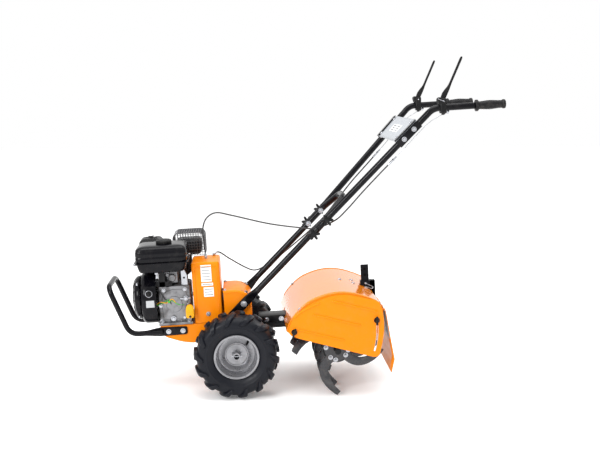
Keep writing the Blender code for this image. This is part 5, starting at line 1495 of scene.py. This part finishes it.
thicken(make("hood_skin", HOOD_ORANGE, hood_skin(), replaces=["hood_top"], smooth=50), 0.002, 0.0)
cheek = np.array(HOOD_LINE + CHEEK_LOW)
for side, word in SIDES:
    low, high = sorted((-side * (HALF - 0.0018), -side * (HALF - 0.0042)))
    make("hood_cheek_" + word, ORANGE, slab(cheek[::-1], low, high, 0.0005, 1))


def hood_bolt(fraction, y):
    """A bolt standing on the hood's skin at a fraction of its line."""
    k = int(fraction * (len(line) - 2))
    run = unit(line[k + 1] - line[k])
    return hex_bolt((line[k][0], y, line[k][1]), (-run[1], 0, run[0]), 0.011, 0.0045)


make("hood_bolts", ZINC, *(hood_bolt(f, y) for f, y in ((0.24, -0.238), (0.24, 0.238), (0.7, 0.0),
    (0.8, -0.03), (0.8, 0.03), (0.88, -0.03), (0.88, 0.03))))
for side, word in SIDES:
    edge = np.column_stack([line[6:-6, 0], np.full(len(line) - 12, side * (HALF - 0.004)),
        line[6:-6, 1] + 0.0006])
    make("hood_bead_" + word, ORANGE, pipe(edge, 0.0019, 10, 0.001))

# ---- side panels ----------------------------------------------------------------------------
PANEL_FRONT, PANEL_REAR = np.array((0.225, 0.084)), np.array((0.543, 0.109))
PANEL_LINE = [(0.222, 0.138), (0.261, 0.173), (0.31, 0.198), (0.372, 0.216), (0.425, 0.219),
    (0.477, 0.207), (0.545, 0.186), (0.556, 0.178), (0.571, 0.125), (0.57, 0.058), (0.55, -0.025),
    (0.538, -0.035), (0.522, -0.034), (0.24, 0.058), (0.212, 0.071), (0.203, 0.084), (0.204, 0.098)]
SLOT_R = np.linalg.norm(PANEL_REAR - PANEL_FRONT)
SLOT_TOP = math.atan2(*(PANEL_REAR - PANEL_FRONT)[::-1])
SLOT_DROP = math.radians(22)
RIBS = (((0.379, 0.196), (0.545, 0.1435)), ((0.3055, 0.147), (0.477, 0.094)),
    ((0.244, 0.0915), (0.412, 0.041)), ((0.23, 0.143), (0.262, 0.165), (0.325, 0.19)))


def slot_outline(grow):
    """Two arcs about the front knob, joined by round ends."""
    a = np.linspace(SLOT_TOP + 0.01, SLOT_TOP - SLOT_DROP, 24)
    outer = PANEL_FRONT + (SLOT_R + grow) * np.stack([np.cos(a), np.sin(a)], -1)
    inner = PANEL_FRONT + (SLOT_R - grow) * np.stack([np.cos(a), np.sin(a)], -1)[::-1]
    return np.concatenate([outer, inner])


def pierced(outline, hole, low, high):
    """A plate with one hole: both faces tessellated, and a wall round each loop."""
    loops = [np.asarray(outline, float), np.asarray(hole, float)]
    flat = np.concatenate(loops)
    count = len(flat)
    tris = tessellate_polygon([[(x, z, 0) for x, z in loop] for loop in loops])
    points = np.concatenate([np.column_stack([flat[:, 0], np.full(count, y), flat[:, 1]]) for y in (low,
        high)])
    faces = [list(t) for t in tris] + [[i + count for i in t] for t in tris]
    first = 0
    for loop in loops:
        k = np.arange(len(loop))
        after = (k + 1) % len(loop)
        faces += (np.stack([k, after, after + count, k + count], -1) + first).tolist()
        first += len(loop)
    return points, faces


outline = smooth_outline(PANEL_LINE, (0.03,) * 6 + (0.012, 0.012, 0.03, 0.04, 0.015, 0.012, 0.015, 0.02,
    0.02, 0.015, 0.02), 5)
for side, word in SIDES:
    body = word + "_panel"
    low, high = sorted((side * 0.2506, side * 0.2524))
    panel = make("panel_" + word, ORANGE, pierced(outline, slot_outline(0.0038), low, high), body=body,
        replaces=["side_panel_" + word], smooth=30)
    bevel = panel.modifiers.new("edge", "BEVEL")
    bevel.width = 0.0005
    bevel.segments = 2
    bevel.angle_limit = math.radians(50)
    ribs = []
    for rib in RIBS:
        path = smooth_path([(x, 0, z) for x, z in rib], 8)
        points, faces = pipe(path, 0.004, 16, 0.004)
        ribs.append((points * (1, 0.85, 1) + (0, side * 0.2524, 0), faces))
    make("panel_ribs_" + word, ORANGE, *ribs, body=body, smooth=60)
    low, high = sorted((side * 0.25015, side * 0.2505))
    strip = slot_outline(0.006)
    make("slot_strip_" + word, ZINC, pierced(strip, slot_outline(0.0022), low, high), body=body)
    face = side * 0.2525
    for at, lean, end in ((PANEL_FRONT, 0.35, "front"), (PANEL_REAR, 0.05, "rear")):
        spot = np.array((at[0], face, at[1]))
        wing = np.array((math.sin(lean), 0, math.cos(lean)))
        shapes = [boss([(0.0085, 0.0), (0.008, 0.008), (0.0055, 0.0125)], spot, (0, side, 0), 28),
            boss([(0.0115, -0.001), (0.0115, 0.0012)], spot, (0, side, 0), 28)]
        for way in (-1, 1):
            shapes.append(loft([spot + wing * way * reach + (0, side * out,
                0) + np.column_stack([np.cos(t) * wide, np.sin(t) * thick,
                np.zeros(20)]) @ np.array([(math.cos(lean), 0, -math.sin(lean)), RIGHT, wing]) for reach,
                out, wide, thick in ((0.002, 0.0065, 0.005, 0.005), (0.009, 0.008, 0.0042, 0.004),
                (0.014, 0.0098, 0.0046, 0.003), (0.017, 0.0108, 0.0025, 0.0018)) for t in [around(20)]]))
        make(f"wing_knob_{word}_{end}", PLASTIC, *shapes)

# ---- rear flap ------------------------------------------------------------------------------
FLAP_LINE = [(0.579, 0.142), (0.5835, 0.115), (0.594, 0.03), (0.606, -0.051), (0.592, -0.103)]


def flap_sheet(points, half, shift):
    """The flap's line, its kink kept, carried across and shifted along x."""
    rows = [[(x + shift, y, z) for y in np.linspace(-half, half, 9)] for x, z in points]
    return np.asarray(rows).reshape(-1, 3), grid_quads(len(rows), 9, False, False)


flap_path = rounded([(x, 0, z) for x, z in FLAP_LINE], (0, 0.02, 0.03, 0.012, 0), 6)[:, [0, 2]]
thicken(make("flap_skin", ORANGE, flap_sheet(flap_path, 0.246, 0), body="flap", replaces=["rear_flap"],
    smooth=30), 0.002, 0.0)
# Painted shade: a grey sheet over the flap's front face above its lip stands in for that face in shadow;
# the lip below stays orange.
shaded_path = flap_path[flap_path[:, 1] > -0.048]
thicken(make("flap_shade_sheet", LABEL_AND_SHADE_GREY, flap_sheet(shaded_path, 0.24, -0.0022), body="flap", smooth=30), 0.001,
    0.0)
shapes = [pipe([(0.5765, y, 0.144), (0.5765, y + 0.026, 0.144)], 0.0034, 14,
    0.0006) for y in np.arange(-0.244, -0.03, 0.06)]
shapes += [(p * (1, -1, 1), f) for p, f in shapes]
make("hinge_knuckles", ORANGE, *shapes, body="flap")
make("hinge_rod", ZINC, pipe([(0.5765, -0.2475, 0.144), (0.5765, 0.2475, 0.144)], 0.002, 12, 0.001))

# ---- depth stake ----------------------------------------------------------------------------
shapes = [box_at((0.5192, -0.0039, -0.06), (0.5508, 0.0039, 0.2798), 0.0012, 2),
    slab(np.array([(0.535 - 0.004, -0.0848), (0.535 + 0.004, -0.0848), (0.5508, -0.06), (0.5508, -0.05),
    (0.5192, -0.05), (0.5192, -0.06)]), -0.0039, 0.0039, 0.001, 1)]
make("stake_bar", ENAMEL, *shapes, body="stake", replaces=["depth_stake"])
# Painted shade: dark plugs fill the stake's holes, standing in for the shade inside them.
make("stake_hole_shade", HOLE_SHADE, *(boss([(0.005, -0.0042), (0.005, 0.0042)], (0.535, 0, z), RIGHT,
    28) for z in (0.262, 0.238, 0.07, 0.045, 0.02, -0.005, -0.03)), body="stake")
walls = []
for side, _ in SIDES:
    low, high = sorted((side * 0.0047, side * 0.0138))
    walls.append(box_at((0.5147, low, 0.0852), (0.5743, high, 0.2158), 0.0016, 2))
walls += [box_at((0.5147, -0.0138, 0.0852), (0.5184, 0.0138, 0.2158), 0.0012, 2),
    box_at((0.5517, -0.0138, 0.0852), (0.5743, 0.0138, 0.2158), 0.0016, 2),
    box_at((0.4457, -0.0118, 0.0852), (0.517, 0.0118, 0.1028), 0.0016, 2)]
make("stake_holder", ENAMEL, *walls, replaces=["stake_bracket"])
loop = rounded([(0.535, -0.0165, 0.205), (0.566, -0.0175, 0.1885), (0.56, -0.0175, 0.18),
    (0.541, -0.017, 0.19)], (0, 0.004, 0.004, 0), 6)
make("hitch_pin", ZINC, pipe(loop, 0.0016, 12, 0.001), pipe([(0.535, -0.0185, 0.205),
    (0.535, -0.012, 0.205)], 0.0042, 20, 0.001), pipe([(0.535, 0.012, 0.205), (0.535, 0.02, 0.205)],
    0.0036, 20, 0.001))

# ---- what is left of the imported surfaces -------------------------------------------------
for name, obj in frame["nodes"].items():
    for finish in obj.material_slots:
        finish.material = CAD_FINISH.get(name, IRON)
